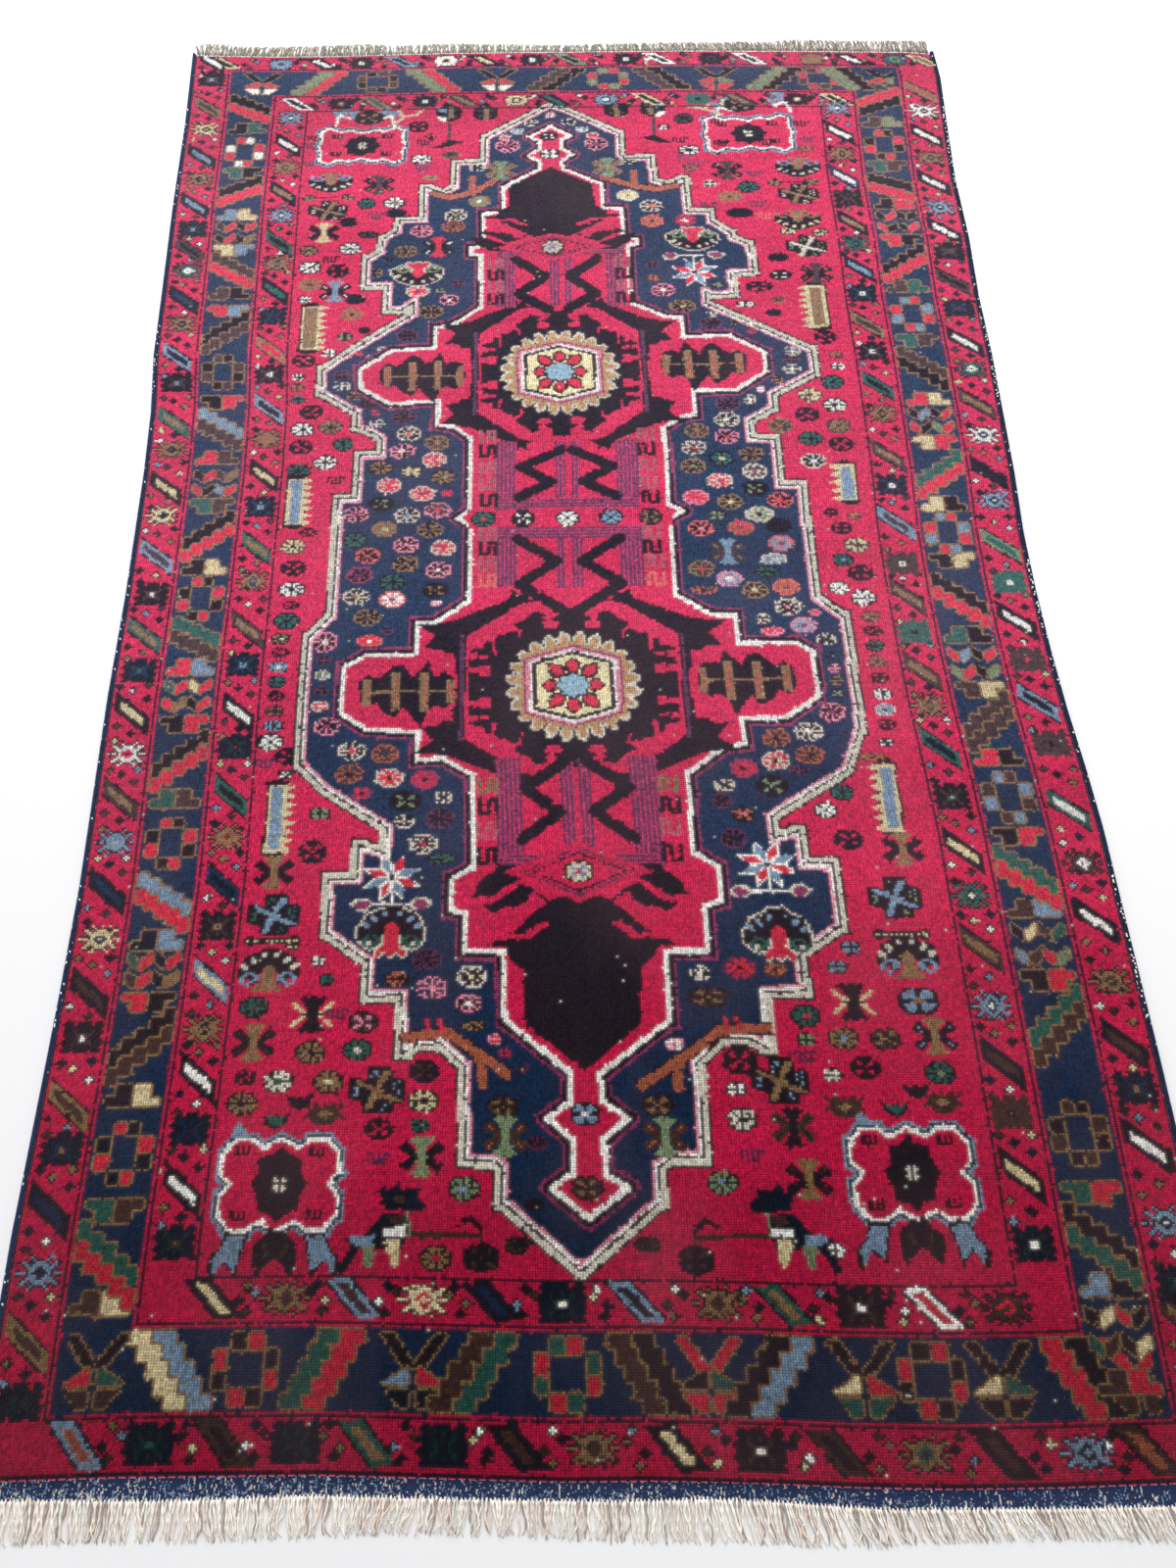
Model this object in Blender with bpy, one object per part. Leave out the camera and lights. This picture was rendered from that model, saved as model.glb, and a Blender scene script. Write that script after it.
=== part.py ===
"""Hand-knotted wool rug, lying flat: pile field with two woven end bands, two overcast
side edges and two knotted warp fringes.

Metres, +Z up. X runs across the rug, Y along its warps from the near end to the far end.
The origin is at the bottom centre of the whole rug, so it rests on Z = 0.
"""
import math

import bmesh
import bpy

# Driving dimensions
PILE_TOP = 0.009            # top of the pile above the floor
PILE_SHOULDER = 0.0075      # where the pile rounds off at its edges
SHOULDER_RUN = 0.003        # how far in from its edge the pile reaches full height
BAND_TOP = 0.003            # flat-woven band at each end, without pile
BAND_LIP = 0.0025
EDGE_WIDTH = 0.0075         # overcast side edge
EDGE_HEIGHT = 0.0076
STRIP_WIDTH = 0.004         # strip in which the fringe strands are rooted
STRAND_THICKNESS = 0.003
TIP_THICKNESS = 0.0014
STRAND_WIDTH = 0.0052
TIP_WIDTH = 0.0030
STRANDS_PER_END = 148
FRINGE_START = -0.6465
FRINGE_END = 0.6455
RAGGED_TIPS = 0.0016        # how unevenly the strands are cut
RAGGED_LEAN = 0.0008
PARTING = 0.0003            # gap kept between neighbouring pieces

# The weaving drifted: the ends run 2.4 cm off square in each metre of width
END_SLANT = 0.024
CENTRE_ACROSS = -0.00114
CENTRE_ALONG = -0.02686

NOMINAL_WIDTH = 1.28
BODY_COLUMNS = 18
BODY_ROWS = 26
SHOULDER_ROWS = 3           # rows at each end that shape the band and the pile's shoulder
EDGE_STOP = 0.0012          # each side edge stops this far short of the band's lip

# Place along the warps, place across: where each long side runs. The waist is drawn in.
LEFT_SIDE = [
    (-1.12, -0.6510), (-0.95, -0.6500), (-0.855, -0.6480), (-0.73, -0.6420), (-0.60, -0.6360),
    (-0.46, -0.6312), (-0.20, -0.6316), (-0.04, -0.6280), (0.16, -0.6280), (0.27, -0.6310),
    (0.38, -0.6400), (0.50, -0.6420), (0.69, -0.6460), (0.89, -0.6470), (1.07, -0.6525),
]
RIGHT_SIDE = [
    (-1.12, 0.6500), (-0.90, 0.6500), (-0.68, 0.6480), (-0.544, 0.6450), (-0.40, 0.6420),
    (-0.32, 0.6370), (-0.235, 0.6300), (-0.15, 0.6256), (-0.058, 0.6230), (0.037, 0.6235),
    (0.136, 0.6290), (0.351, 0.6345), (0.467, 0.6340), (0.589, 0.6390), (0.719, 0.6380),
    (0.856, 0.6450), (0.96, 0.6510), (1.06, 0.6480),
]

# Place across, place along the warps: the lines on which the ends' parts begin and stop
NEAR_PILE_EDGE = [
    (-0.65, -1.0840), (-0.50, -1.0800), (-0.30, -1.0790), (-0.20, -1.0820), (-0.05, -1.0865),
    (0.04, -1.0860), (0.16, -1.0890), (0.25, -1.0925), (0.35, -1.0945), (0.45, -1.0935),
    (0.65, -1.0880),
]
NEAR_BAND_EDGE = [
    (-0.65, -1.1015), (-0.45, -1.1025), (-0.30, -1.0980), (-0.20, -1.1005), (0.00, -1.1045),
    (0.10, -1.1025), (0.16, -1.1055), (0.28, -1.1135), (0.45, -1.1135), (0.65, -1.1105),
]
NEAR_TIPS = [
    (-0.65, -1.1430), (-0.50, -1.1395), (-0.40, -1.1390), (-0.30, -1.1360), (-0.20, -1.1330),
    (-0.10, -1.1355), (0.00, -1.1410), (0.16, -1.1430), (0.19, -1.1460), (0.25, -1.1460),
    (0.40, -1.1400), (0.50, -1.1420), (0.65, -1.1470),
]
FAR_PILE_EDGE = [
    (-0.65, 1.0525), (-0.60, 1.0480), (-0.50, 1.0430), (-0.40, 1.0410), (-0.20, 1.0430),
    (0.00, 1.0400), (0.20, 1.0370), (0.40, 1.0300), (0.60, 1.0210), (0.65, 1.0140),
]
FAR_TIPS = [
    (-0.66, 1.0830), (-0.63, 1.0950), (-0.60, 1.0910), (-0.56, 1.0830), (-0.50, 1.0810),
    (-0.40, 1.0830), (-0.34, 1.0850), (-0.30, 1.0780), (-0.20, 1.0810), (0.00, 1.0710),
    (0.20, 1.0720), (0.37, 1.0680), (0.40, 1.0730), (0.50, 1.0670), (0.60, 1.0640),
    (0.65, 1.0600),
]
FAR_BAND_WIDTH = 0.011

# Place across, how far a strand's tip lies to the right of its root
NEAR_LEAN = [
    (-0.65, -0.004), (-0.50, 0.000), (-0.40, 0.002), (-0.30, -0.002), (-0.22, -0.007),
    (-0.12, -0.001), (0.00, 0.001), (0.10, 0.004), (0.16, 0.008), (0.30, 0.010),
    (0.50, 0.011), (0.65, 0.006),
]
FAR_LEAN = [
    (-0.65, -0.006), (-0.56, 0.003), (-0.30, -0.002), (0.00, 0.001), (0.35, -0.003),
    (0.42, 0.003), (0.65, 0.001),
]

COLOURS = {
    "pile": (0.42, 0.010, 0.045),
    "edge": (0.012, 0.024, 0.055),
    "cotton": (0.62, 0.58, 0.49),
}
WOOL_ROUGHNESS = 0.9


def remove_everything():
    for thing in list(bpy.data.objects):
        bpy.data.objects.remove(thing, do_unlink=True)


def follow(table, at):
    """Read a table's second column at a place along its first, in straight stretches."""
    if at <= table[0][0]:
        return table[0][1]
    for (a, value_a), (b, value_b) in zip(table, table[1:]):
        if at <= b:
            return value_a + (value_b - value_a) * (at - a) / (b - a)
    return table[-1][1]


def place(across, along, height):
    """Turn a place on the rug into world coordinates."""
    return (across - CENTRE_ACROSS, along - END_SLANT * across - CENTRE_ALONG, height)


def wool(name):
    material = bpy.data.materials.new(name)
    material.use_nodes = True
    shader = material.node_tree.nodes["Principled BSDF"]
    shader.inputs["Base Color"].default_value = (*COLOURS[name], 1.0)
    shader.inputs["Roughness"].default_value = WOOL_ROUGHNESS
    shader.inputs["Metallic"].default_value = 0.0
    return material


def add_object(name, mesh_data, material, smooth=False):
    mesh = bpy.data.meshes.new(name)
    mesh_data.normal_update()
    mesh_data.to_mesh(mesh)
    mesh_data.free()
    if smooth:
        mesh.shade_smooth()
        mesh.set_sharp_from_angle(angle=math.radians(50))
    mesh.materials.append(material)
    thing = bpy.data.objects.new(name, mesh)
    bpy.context.scene.collection.objects.link(thing)
    return thing


def skin_grid(mesh_data, top, bottom):
    """Close two equal grids of vertices, top over bottom, with walls around their rim."""
    rows, columns = len(top), len(top[0])
    for r in range(rows - 1):
        for c in range(columns - 1):
            mesh_data.faces.new((top[r][c], top[r][c + 1], top[r + 1][c + 1], top[r + 1][c]))
            mesh_data.faces.new(
                (bottom[r][c], bottom[r + 1][c], bottom[r + 1][c + 1], bottom[r][c + 1])
            )
    rim = [(0, c) for c in range(columns)]
    rim += [(r, columns - 1) for r in range(1, rows)]
    rim += [(rows - 1, c) for c in range(columns - 2, -1, -1)]
    rim += [(r, 0) for r in range(rows - 2, 0, -1)]
    for (r0, c0), (r1, c1) in zip(rim, rim[1:] + rim[:1]):
        mesh_data.faces.new((bottom[r0][c0], bottom[r1][c1], top[r1][c1], top[r0][c0]))


def body_row_places(across):
    """Places along the warps of the body's rows, near to far, with each row's height."""
    near_pile = follow(NEAR_PILE_EDGE, across)
    far_pile = follow(FAR_PILE_EDGE, across)
    start = near_pile + SHOULDER_RUN
    stop = far_pile - SHOULDER_RUN
    rows = [
        (follow(NEAR_BAND_EDGE, across), BAND_LIP),
        (near_pile - SHOULDER_RUN / 4, BAND_TOP),
        (near_pile, PILE_SHOULDER),
    ]
    for step in range(BODY_ROWS + 1):
        rows.append((start + (stop - start) * step / BODY_ROWS, PILE_TOP))
    rows += [
        (far_pile, PILE_SHOULDER),
        (far_pile + SHOULDER_RUN / 4, BAND_TOP),
        (far_pile + FAR_BAND_WIDTH, BAND_LIP),
    ]
    return rows


def body_row(row):
    """The body's corners in one row, left to right: across, along and height."""
    corners = []
    for column in range(-1, BODY_COLUMNS + 2):
        share = min(max(column, 0), BODY_COLUMNS) / BODY_COLUMNS
        along, height = body_row_places((share - 0.5) * NOMINAL_WIDTH)[row]
        left = follow(LEFT_SIDE, along) + EDGE_WIDTH + PARTING
        right = follow(RIGHT_SIDE, along) - EDGE_WIDTH - PARTING
        if column == -1:
            corners.append((left, along, min(height, PILE_SHOULDER)))
        elif column == BODY_COLUMNS + 1:
            corners.append((right, along, min(height, PILE_SHOULDER)))
        else:
            left, right = left + SHOULDER_RUN, right - SHOULDER_RUN
            corners.append((left + (right - left) * share, along, height))
    return corners


def make_body(rows):
    """The knotted cloth with its flat-woven end bands, one piece of weaving."""
    mesh_data = bmesh.new()
    top = [[mesh_data.verts.new(place(*corner)) for corner in row] for row in rows]
    bottom = [
        [mesh_data.verts.new(place(across, along, 0.0)) for across, along, _ in row]
        for row in rows
    ]
    skin_grid(mesh_data, top, bottom)
    return add_object("rug_body", mesh_data, wool("pile"))


def edge_section():
    """Section of an overcast side edge: a round bundle of warps, flat underneath."""
    half, tall = EDGE_WIDTH / 2, EDGE_HEIGHT
    return [
        (-half * 0.7, 0.0), (half * 0.7, 0.0), (half, tall * 0.28), (half, tall * 0.62),
        (half * 0.6, tall * 0.94), (0.0, tall), (-half * 0.6, tall * 0.94),
        (-half, tall * 0.62), (-half, tall * 0.28),
    ]


def make_side_edge(name, rim, outward, material):
    """Wrapped edge beside the body's rim, which is a list of places across and along."""
    mesh_data = bmesh.new()
    (near_across, near_along), (far_across, far_along) = rim[0], rim[-1]
    route = [(near_across, near_along + EDGE_STOP)] + rim[1:-1]
    route += [(far_across, far_along - EDGE_STOP)]
    rings = []
    for across, along in route:
        middle = across + outward * (PARTING + EDGE_WIDTH / 2)
        rings.append([
            mesh_data.verts.new(place(middle + out, along, up)) for out, up in edge_section()
        ])
    count = len(rings[0])
    for ring, following in zip(rings, rings[1:]):
        for i in range(count):
            j = (i + 1) % count
            mesh_data.faces.new((ring[j], ring[i], following[i], following[j]))
    mesh_data.faces.new(rings[0])
    mesh_data.faces.new(list(reversed(rings[-1])))
    return add_object(name, mesh_data, material, smooth=True)


def strand_corners(strand, root_line, tips, lean, outward):
    """One strand seen from above: the middles of its root and of its tip."""
    pitch = (FRINGE_END - FRINGE_START) / STRANDS_PER_END
    middle = FRINGE_START + pitch * (strand + 0.5)
    root = follow(root_line, middle) + outward * (PARTING + STRIP_WIDTH)
    ragged = RAGGED_TIPS * (0.6 * math.sin(strand * 2.4) + 0.4 * math.sin(strand * 5.1))
    tip = follow(tips, middle) + ragged - outward * RAGGED_TIPS
    tip_middle = middle + follow(lean, middle) + RAGGED_LEAN * math.sin(strand * 1.7)
    return (middle, root), (tip_middle, tip)


def make_fringe(name, root_line, tips, lean, outward, material):
    """Warp ends knotted and cut: a rooting strip with one row of tapered strands."""
    mesh_data = bmesh.new()

    def pair(middle, along, width, height):
        """The left and right corners of a strand, each as its foot and its top."""
        return [
            [mesh_data.verts.new(place(middle + side * width / 2, along, level))
             for level in (0.0, height)]
            for side in (-1, 1)
        ]

    def wall(a, b):
        mesh_data.faces.new((a[0], b[0], b[1], a[1]))

    def slab(a, b, c, d):
        mesh_data.faces.new((a[1], b[1], c[1], d[1]))
        mesh_data.faces.new((a[0], d[0], c[0], b[0]))

    inner, outer = [], []
    for strand in range(STRANDS_PER_END):
        root, tip = strand_corners(strand, root_line, tips, lean, outward)
        left, right = pair(*root, STRAND_WIDTH, STRAND_THICKNESS)
        tip_left, tip_right = pair(*tip, TIP_WIDTH, TIP_THICKNESS)
        slab(left, right, tip_right, tip_left)
        wall(left, tip_left)
        wall(tip_left, tip_right)
        wall(tip_right, right)
        if outer:
            wall(outer[-1], left)
        outer += [left, right]
        for side in (-1, 1):
            across = root[0] + side * STRAND_WIDTH / 2
            line = follow(root_line, across) + outward * PARTING
            inner += [[mesh_data.verts.new(place(across, line, level))
                       for level in (0.0, STRAND_THICKNESS)]]
    for i in range(len(outer) - 1):
        slab(inner[i], inner[i + 1], outer[i + 1], outer[i])
        wall(inner[i + 1], inner[i])
    wall(inner[0], outer[0])
    wall(outer[-1], inner[-1])
    bmesh.ops.recalc_face_normals(mesh_data, faces=mesh_data.faces)
    return add_object(name, mesh_data, material)


def main():
    remove_everything()
    rows = [body_row(row) for row in range(len(body_row_places(0.0)))]
    make_body(rows)
    edge_material = wool("edge")
    long_rows = rows[:1] + rows[SHOULDER_ROWS:-SHOULDER_ROWS] + rows[-1:]
    left_rim = [row[0][:2] for row in long_rows]
    right_rim = [row[-1][:2] for row in long_rows]
    make_side_edge("selvedge_left", left_rim, -1, edge_material)
    make_side_edge("selvedge_right", right_rim, 1, edge_material)
    cotton = wool("cotton")
    near_line = [corner[:2] for corner in rows[0]]
    far_line = [corner[:2] for corner in rows[-1]]
    make_fringe("fringe_near", near_line, NEAR_TIPS, NEAR_LEAN, -1, cotton)
    make_fringe("fringe_far", far_line, FAR_TIPS, FAR_LEAN, 1, cotton)


main()
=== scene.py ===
"""Looks of the hand-knotted wool rug: every knot is charted, dyed and laid in its row."""
import math

import bpy
import numpy as np
from mathutils import Matrix, Vector

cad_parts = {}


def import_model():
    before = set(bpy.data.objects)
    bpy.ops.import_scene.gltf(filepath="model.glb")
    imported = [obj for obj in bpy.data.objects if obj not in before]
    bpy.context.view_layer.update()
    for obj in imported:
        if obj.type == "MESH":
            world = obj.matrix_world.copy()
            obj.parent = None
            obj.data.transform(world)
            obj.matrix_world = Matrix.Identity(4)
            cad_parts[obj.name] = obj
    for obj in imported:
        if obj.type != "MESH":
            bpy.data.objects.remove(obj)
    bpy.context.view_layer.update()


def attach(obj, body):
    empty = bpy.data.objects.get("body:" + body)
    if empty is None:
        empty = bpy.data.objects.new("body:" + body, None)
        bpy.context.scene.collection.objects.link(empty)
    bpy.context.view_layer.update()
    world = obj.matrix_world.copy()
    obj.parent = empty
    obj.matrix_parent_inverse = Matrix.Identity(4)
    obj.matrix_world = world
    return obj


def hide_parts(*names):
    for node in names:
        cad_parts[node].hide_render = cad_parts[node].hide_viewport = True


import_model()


# The knots, counted across and along the rug
COLUMNS = 426
KNOT_WIDE = 3.0             # one knot's width, in millimetres
KNOT_TALL = 2.6
ROWS = 816
EDGE_WIDTH = 7.8            # overcast edge and its parting, on each side of the pile
PILE_WIDE = 1270.0          # rough size of the knotted part
PILE_LONG = 2130.0

# The chart below is in millimetres: u runs across the rug and v along it, from its centre.
MM = 0.001

# Places along, then across: where each long side runs
LEFT_SIDE = [
    (-1120, -651.0), (-950, -650.0), (-855, -648.0), (-730, -642.0), (-600, -636.0), (-460, -631.2),
    (-200, -631.6), (-40, -628.0), (160, -628.0), (270, -631.0), (380, -640.0), (500, -642.0),
    (690, -646.0), (890, -647.0), (1070, -652.5),
]
RIGHT_SIDE = [
    (-1120, 650.0), (-900, 650.0), (-680, 648.0), (-544, 645.0), (-400, 642.0), (-320, 637.0),
    (-235, 630.0), (-150, 625.6), (-58, 623.0), (37, 623.5), (136, 629.0), (351, 634.5),
    (467, 634.0), (589, 639.0), (719, 638.0), (856, 645.0), (960, 651.0), (1060, 648.0),
]
# Places across, then along: where the pile ends
NEAR_PILE_EDGE = [
    (-650, -1084.0), (-500, -1080.0), (-300, -1079.0), (-200, -1082.0), (-50, -1086.5),
    (40, -1086.0), (160, -1089.0), (250, -1092.5), (350, -1094.5), (450, -1093.5), (650, -1088.0),
]
FAR_PILE_EDGE = [
    (-650, 1052.5), (-600, 1048.0), (-500, 1043.0), (-400, 1041.0), (-200, 1043.0), (0, 1040.0),
    (200, 1037.0), (400, 1030.0), (600, 1021.0), (650, 1014.0),
]

# Dyes by letter, as the eye sees them, in the usual 0 to 255
DYES = {
    "R": (195, 18, 66),     # crimson ground
    "N": (15, 37, 66),      # navy
    "K": (29, 18, 28),      # black-brown
    "D": (12, 20, 36),      # blue-black
    "B": (66, 42, 36),      # dark brown
    "C": (132, 100, 66),    # camel
    "G": (36, 84, 72),      # green
    "S": (116, 130, 96),    # sage
    "L": (116, 138, 160),   # light blue
    "Y": (208, 190, 146),   # cream
    "W": (236, 230, 222),   # white
    "V": (84, 36, 68),      # violet
    "P": (214, 128, 148),   # pink
    "O": (200, 92, 84),     # coral
    "M": (132, 46, 84),     # mauve
    "T": (160, 84, 58),     # rust
    "E": (200, 34, 58),     # border red
    "Z": (14, 44, 46),      # bottle green
    "A": (206, 198, 180),   # grey cream
    "c": (172, 132, 86),    # light camel
    "r": (160, 76, 86),     # dusty rose
    "m": (172, 40, 84),     # plum
    "y": (236, 222, 172),   # bright cream
    "l": (142, 176, 192),   # pale blue
    "U": (44, 55, 88),      # band and left edge, blue-grey navy
    "H": (34, 44, 70),      # right edge, darker navy
    "X": (116, 98, 156),    # lilac line
    "F": (255, 248, 236),   # undyed cotton
    "I": (250, 232, 218),   # cotton, a little soiled
    "J": (206, 194, 178),   # cotton, more soiled
    "Q": (188, 172, 160),   # cotton, in shade and dust
    "q": (138, 134, 120),   # cotton, greyed by painted shade, at the far end
}
LETTERS = "".join(DYES)
knots = np.full((ROWS, COLUMNS), LETTERS.index("R"), np.uint8)


def side_at(table, at):
    """Read a table's second column at places along its first, in straight stretches."""
    return np.interp(at, [row[0] for row in table], [row[1] for row in table])


def sides_at(v, inset):
    """Where both long sides run at a place along, drawn in by a width."""
    return side_at(LEFT_SIDE, v) + inset, side_at(RIGHT_SIDE, v) - inset


def ends_at(u):
    """Where the pile starts and stops at a place across."""
    return side_at(NEAR_PILE_EDGE, u), side_at(FAR_PILE_EDGE, u)


def mesh_places(columns, rows):
    """Places across and along for a grid of shares of the knotted part."""
    share_u, share_v = np.meshgrid(columns, rows)
    u = (share_u - 0.5) * PILE_WIDE
    v = (share_v - 0.5) * PILE_LONG
    for _ in range(4):
        left, right = sides_at(v, EDGE_WIDTH)
        u = left + (right - left) * share_u
        near, far = ends_at(u)
        v = near + (far - near) * share_v
    return u, v


knot_u, knot_v = mesh_places((np.arange(COLUMNS) + 0.5) / COLUMNS, (np.arange(ROWS) + 0.5) / ROWS)


def knot_at(u, v):
    """Row and column of the knot at a place."""
    left, right = sides_at(v, EDGE_WIDTH)
    near, far = ends_at(u)
    row = int((v - near) / (far - near) * ROWS)
    column = int((u - left) / (right - left) * COLUMNS)
    return min(max(row, 0), ROWS - 1), min(max(column, 0), COLUMNS - 1)


def window(u0, v0, u1, v1, margin=3):
    """The part of the chart around a box, as a pair of slices."""
    corners = [knot_at(u, v) for u in (u0, u1) for v in (v0, v1)]
    rows, columns = [c[0] for c in corners], [c[1] for c in corners]
    return (slice(max(min(rows) - margin, 0), max(rows) + margin + 1),
            slice(max(min(columns) - margin, 0), max(columns) + margin + 1))


def dye(part, mask, letter):
    """Knot the masked knots of a part of the chart in one colour."""
    if letter != ".":
        knots[part][mask] = LETTERS.index(letter)


def inside(points, part):
    """Which knots of a part of the chart lie inside a closed outline."""
    u, v = knot_u[part], knot_v[part]
    within = np.zeros(u.shape, bool)
    for (u0, v0), (u1, v1) in zip(points, points[1:] + points[:1]):
        if v0 != v1:
            crosses = (v0 > v) != (v1 > v)
            within ^= crosses & (u < u0 + (v - v0) * (u1 - u0) / (v1 - v0))
    return within


def part_around(points, margin=3):
    """The part of the chart around some points."""
    us, vs = [p[0] for p in points], [p[1] for p in points]
    return window(min(us), min(vs), max(us), max(vs), margin)


def placed(points, u, v, across=1, along=1):
    """An outline moved to a place, and stretched or mirrored."""
    return [(u + across * x, v + along * y) for x, y in points]


def box(u0, v0, u1, v1):
    """The corners of an upright box."""
    return [(u0, v0), (u1, v0), (u1, v1), (u0, v1)]


def fill(points, letter):
    """Knot the inside of a closed outline."""
    part = part_around(points)
    dye(part, inside(points, part), letter)


def away(points, part, closed=False):
    """How far each knot of a part lies from a line. Square at the corners of upright lines."""
    u, v = knot_u[part], knot_v[part]
    nearest = np.full(u.shape, 1e9)
    ends = points[1:] + points[:1] if closed else points[1:]
    for (u0, v0), (u1, v1) in zip(points, ends):
        du, dv = u1 - u0, v1 - v0
        share = np.clip(((u - u0) * du + (v - v0) * dv) / max(du * du + dv * dv, 1e-9), 0, 1)
        gap_u, gap_v = np.abs(u - u0 - share * du), np.abs(v - v0 - share * dv)
        if min(abs(du), abs(dv)) < 4:
            nearest = np.minimum(nearest, np.maximum(gap_u, gap_v))
        else:
            nearest = np.minimum(nearest, np.hypot(gap_u, gap_v))
    return nearest


def line(points, width, letter):
    """Knot a line of a width in millimetres."""
    part = part_around(points, 3 + int(width))
    dye(part, away(points, part) < width / 2, letter)


def lined(points, bands):
    """Draw stripes beside a closed outline: (from, to, letter), outward positive, in mm."""
    part = part_around(points, 12)
    gap = away(points, part, closed=True)
    gap = np.where(inside(points, part), -gap, gap)
    for start, stop, letter in bands:
        dye(part, (gap >= start) & (gap < stop), letter)


# How a few dyes change in the thin rings and petals of a flower, and which dyes are dark
RING_DYES = {"W": "J", "Y": "C", "L": "K", "S": "K", "G": "K"}
WEDGE_DYES = {"P": "E", "M": "K", "O": "B"}
DARK = "KDB"


def flower(u, v, letters, wide=36, tall=26, petals=8):
    """A round flower: letters of its ring, its petals and its heart."""
    part = window(u - wide / 2, v - tall / 2, u + wide / 2, v + tall / 2)
    x, y = (knot_u[part] - u) / (wide / 2), (knot_v[part] - v) / (tall / 2)
    letters = RING_DYES.get(letters[0], letters[0]) + WEDGE_DYES.get(letters[1], letters[1]) + letters[2:]
    reach, around = np.hypot(x, y), np.arctan2(y, x)
    turn = np.cos(petals * around)
    edge = 1.04 - 0.08 * np.maximum(turn, 0)
    dye(part, reach < edge, letters[0])
    dye(part, (reach < edge - 0.17) & (turn < 0.45), letters[1])
    if letters[0] in DARK and letters[1] in DARK:
        dye(part, (reach < 0.74) & (np.cos(4 * around) < -0.55), letters[-1])
        dye(part, reach < 0.3, letters[0])
        dye(part, reach < 0.12, letters[-1])
    else:
        dye(part, reach < 0.24, letters[-1])


def stamp(chart, u, v, letters, across=1, along=1, size=None):
    """Knot a chart around a place: a to d stand for the letters given, e for black.

    A size in millimetres, across and along, stretches the chart to it.
    """
    row, column = knot_at(u, v)
    lines = chart.split()
    wide, tall = len(lines[0]), len(lines)
    if size is not None:
        wide, tall = round(size[0] / KNOT_WIDE), round(size[1] / KNOT_TALL)
    for i in range(tall):
        text = lines[i * len(lines) // tall]
        for j in range(wide):
            mark = text[j * len(text) // wide]
            letter = {".": ".", "e": "K"}.get(mark) or letters["abcd".index(mark)]
            r, c = row - along * (i - tall // 2), column + across * (j - wide // 2)
            if letter != "." and 0 <= r < ROWS and 0 <= c < COLUMNS:
                knots[r, c] = LETTERS.index(letter)


def rim(chart, u, v, letter, along=1, size=None):
    """One knot of a letter all around a chart, knotted before the chart itself."""
    shape = "\n".join("".join("." if mark == "." else "a" for mark in text) for text in chart.split())
    for du, dv in ((KNOT_WIDE, 0), (-KNOT_WIDE, 0), (0, KNOT_TALL), (0, -KNOT_TALL)):
        stamp(shape, u + du, v + dv, letter, along=along, size=size)


def both(half):
    """Mirror a chart's lines about their last knot."""
    return "\n".join(text + text[-2::-1] for text in half.split())


def whole(corner):
    """Mirror a chart's corner about its last knot and its last line."""
    lines = corner.split()
    return both("\n".join(lines + lines[-2::-1]))


BUTTERFLY = whole("""
......aa.
....aaaaa
..b..aaaa
.bbb..aaa
bbcbb.aaa
bbbcbb.aa
.bbbbbbaa
...bbbbaa
....bbbaa
""")
MOTH = whole("""
....aa.aa
...aaaaaa
....aaaaa
bb...aaaa
.bb..aaaa
.bbb..aaa
...bb.aaa
....bbaaa
....aaaaa
""")
DOME = both("""
.........eeee
.......eeeeee
.....eeeebbee
...eeeeeebbee
..eebbeeeeeee
..eebbbeeeeee
.eeeebbeeeeee
.bbeeeeeeeeec
.bbbeeeeeeecc
eebbeeeeeeccc
eeeeeeeeeeccc
eeeeeeeeeeccc
eeeddddee.ccc
eeddeeddd.ccc
eddeeeedd.ccc
.dd..eddd.ccc
.dd..ddee.ccc
..dddde..cccc
....d...ccccc
.......cccccc
.......ccc.cc
.......cc...c
""")
CROSS = """
......eeeeeeeee......
......eeceeebbbe.....
......eeeceebbbe.....
......eceeebbbee.....
eeee..eeeeebbbeeeeee.
ebbbeeeeeebbbeeeeecee
eebbbbeeeebbeeeeceeee
eeebbbbbeebbeeeeeecee
ecceeebbbbbeeeeeceeee
eeceeeeebbbbbeeeeecee
ecceeeeebbbbbbbbeeeee
eeeeeeebbbeeebbbbbeee
.eeeeeebbbeeeeebbbbbe
....eeebbeeeeeeeeeee.
.....ebbbeeeeceee....
.....ebbbeeeeecee....
.....ebbeeeeceeee....
.....eeeeeeeeeee.....
"""
BEADS = whole("""
.eee........
eeeeeeeeeeee
ebbebbebebeb
""")
CRAB = whole("""
..aaa..aaaa
.aaaaa.aaaa
.aaaaaaaaaa
..aaabaaaab
.aaaabbaaab
aaaaabbbaaa
aaaaaabbbaa
.aaaaaabbcc
..aaaaabbcd
""")
STAR = whole("""
......e....
.....eae..e
..ee..eaeea
.eaaee.eaaa
..eaaaeaaab
...eaaaaabb
eee.eaaabbc
aaaaeaabbcc
""")
SMALL_CRAB = whole("""
..aa.aaa
.aaaaaaa
..aaaaaa
aaaaaabb
aaaaabcc
.aaaabcd
""")
SMALL_STAR = whole("""
..ee.eee
.eaaeaaa
..eaaaaa
eeaaabbb
eaaaabcc
.eaaabcc
""")
DIAMOND = "..a.. .aba. abbba .aba. ..a.."
MARK = "aaa.a.aaa a.a.a.a.a a.a.a.a.. a.a.a.a.. ..aaaaa.."
MEANDER = """
aaaa...aa
aaaaa..aa
aa.aa..aa
aa.aa..aa
aa.aa..aa
aa.aa..aa
aa.aa..aa
aa.aaaaaa
aa..aaaaa
"""
LEAF = both("""
a..aa..a
aa.aaa.a
.aaaaaaa
..aaaabb
.aaaabbb
aaaaaabb
a.aaaaaa
...aaaaa
....aaaa
""")


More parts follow.
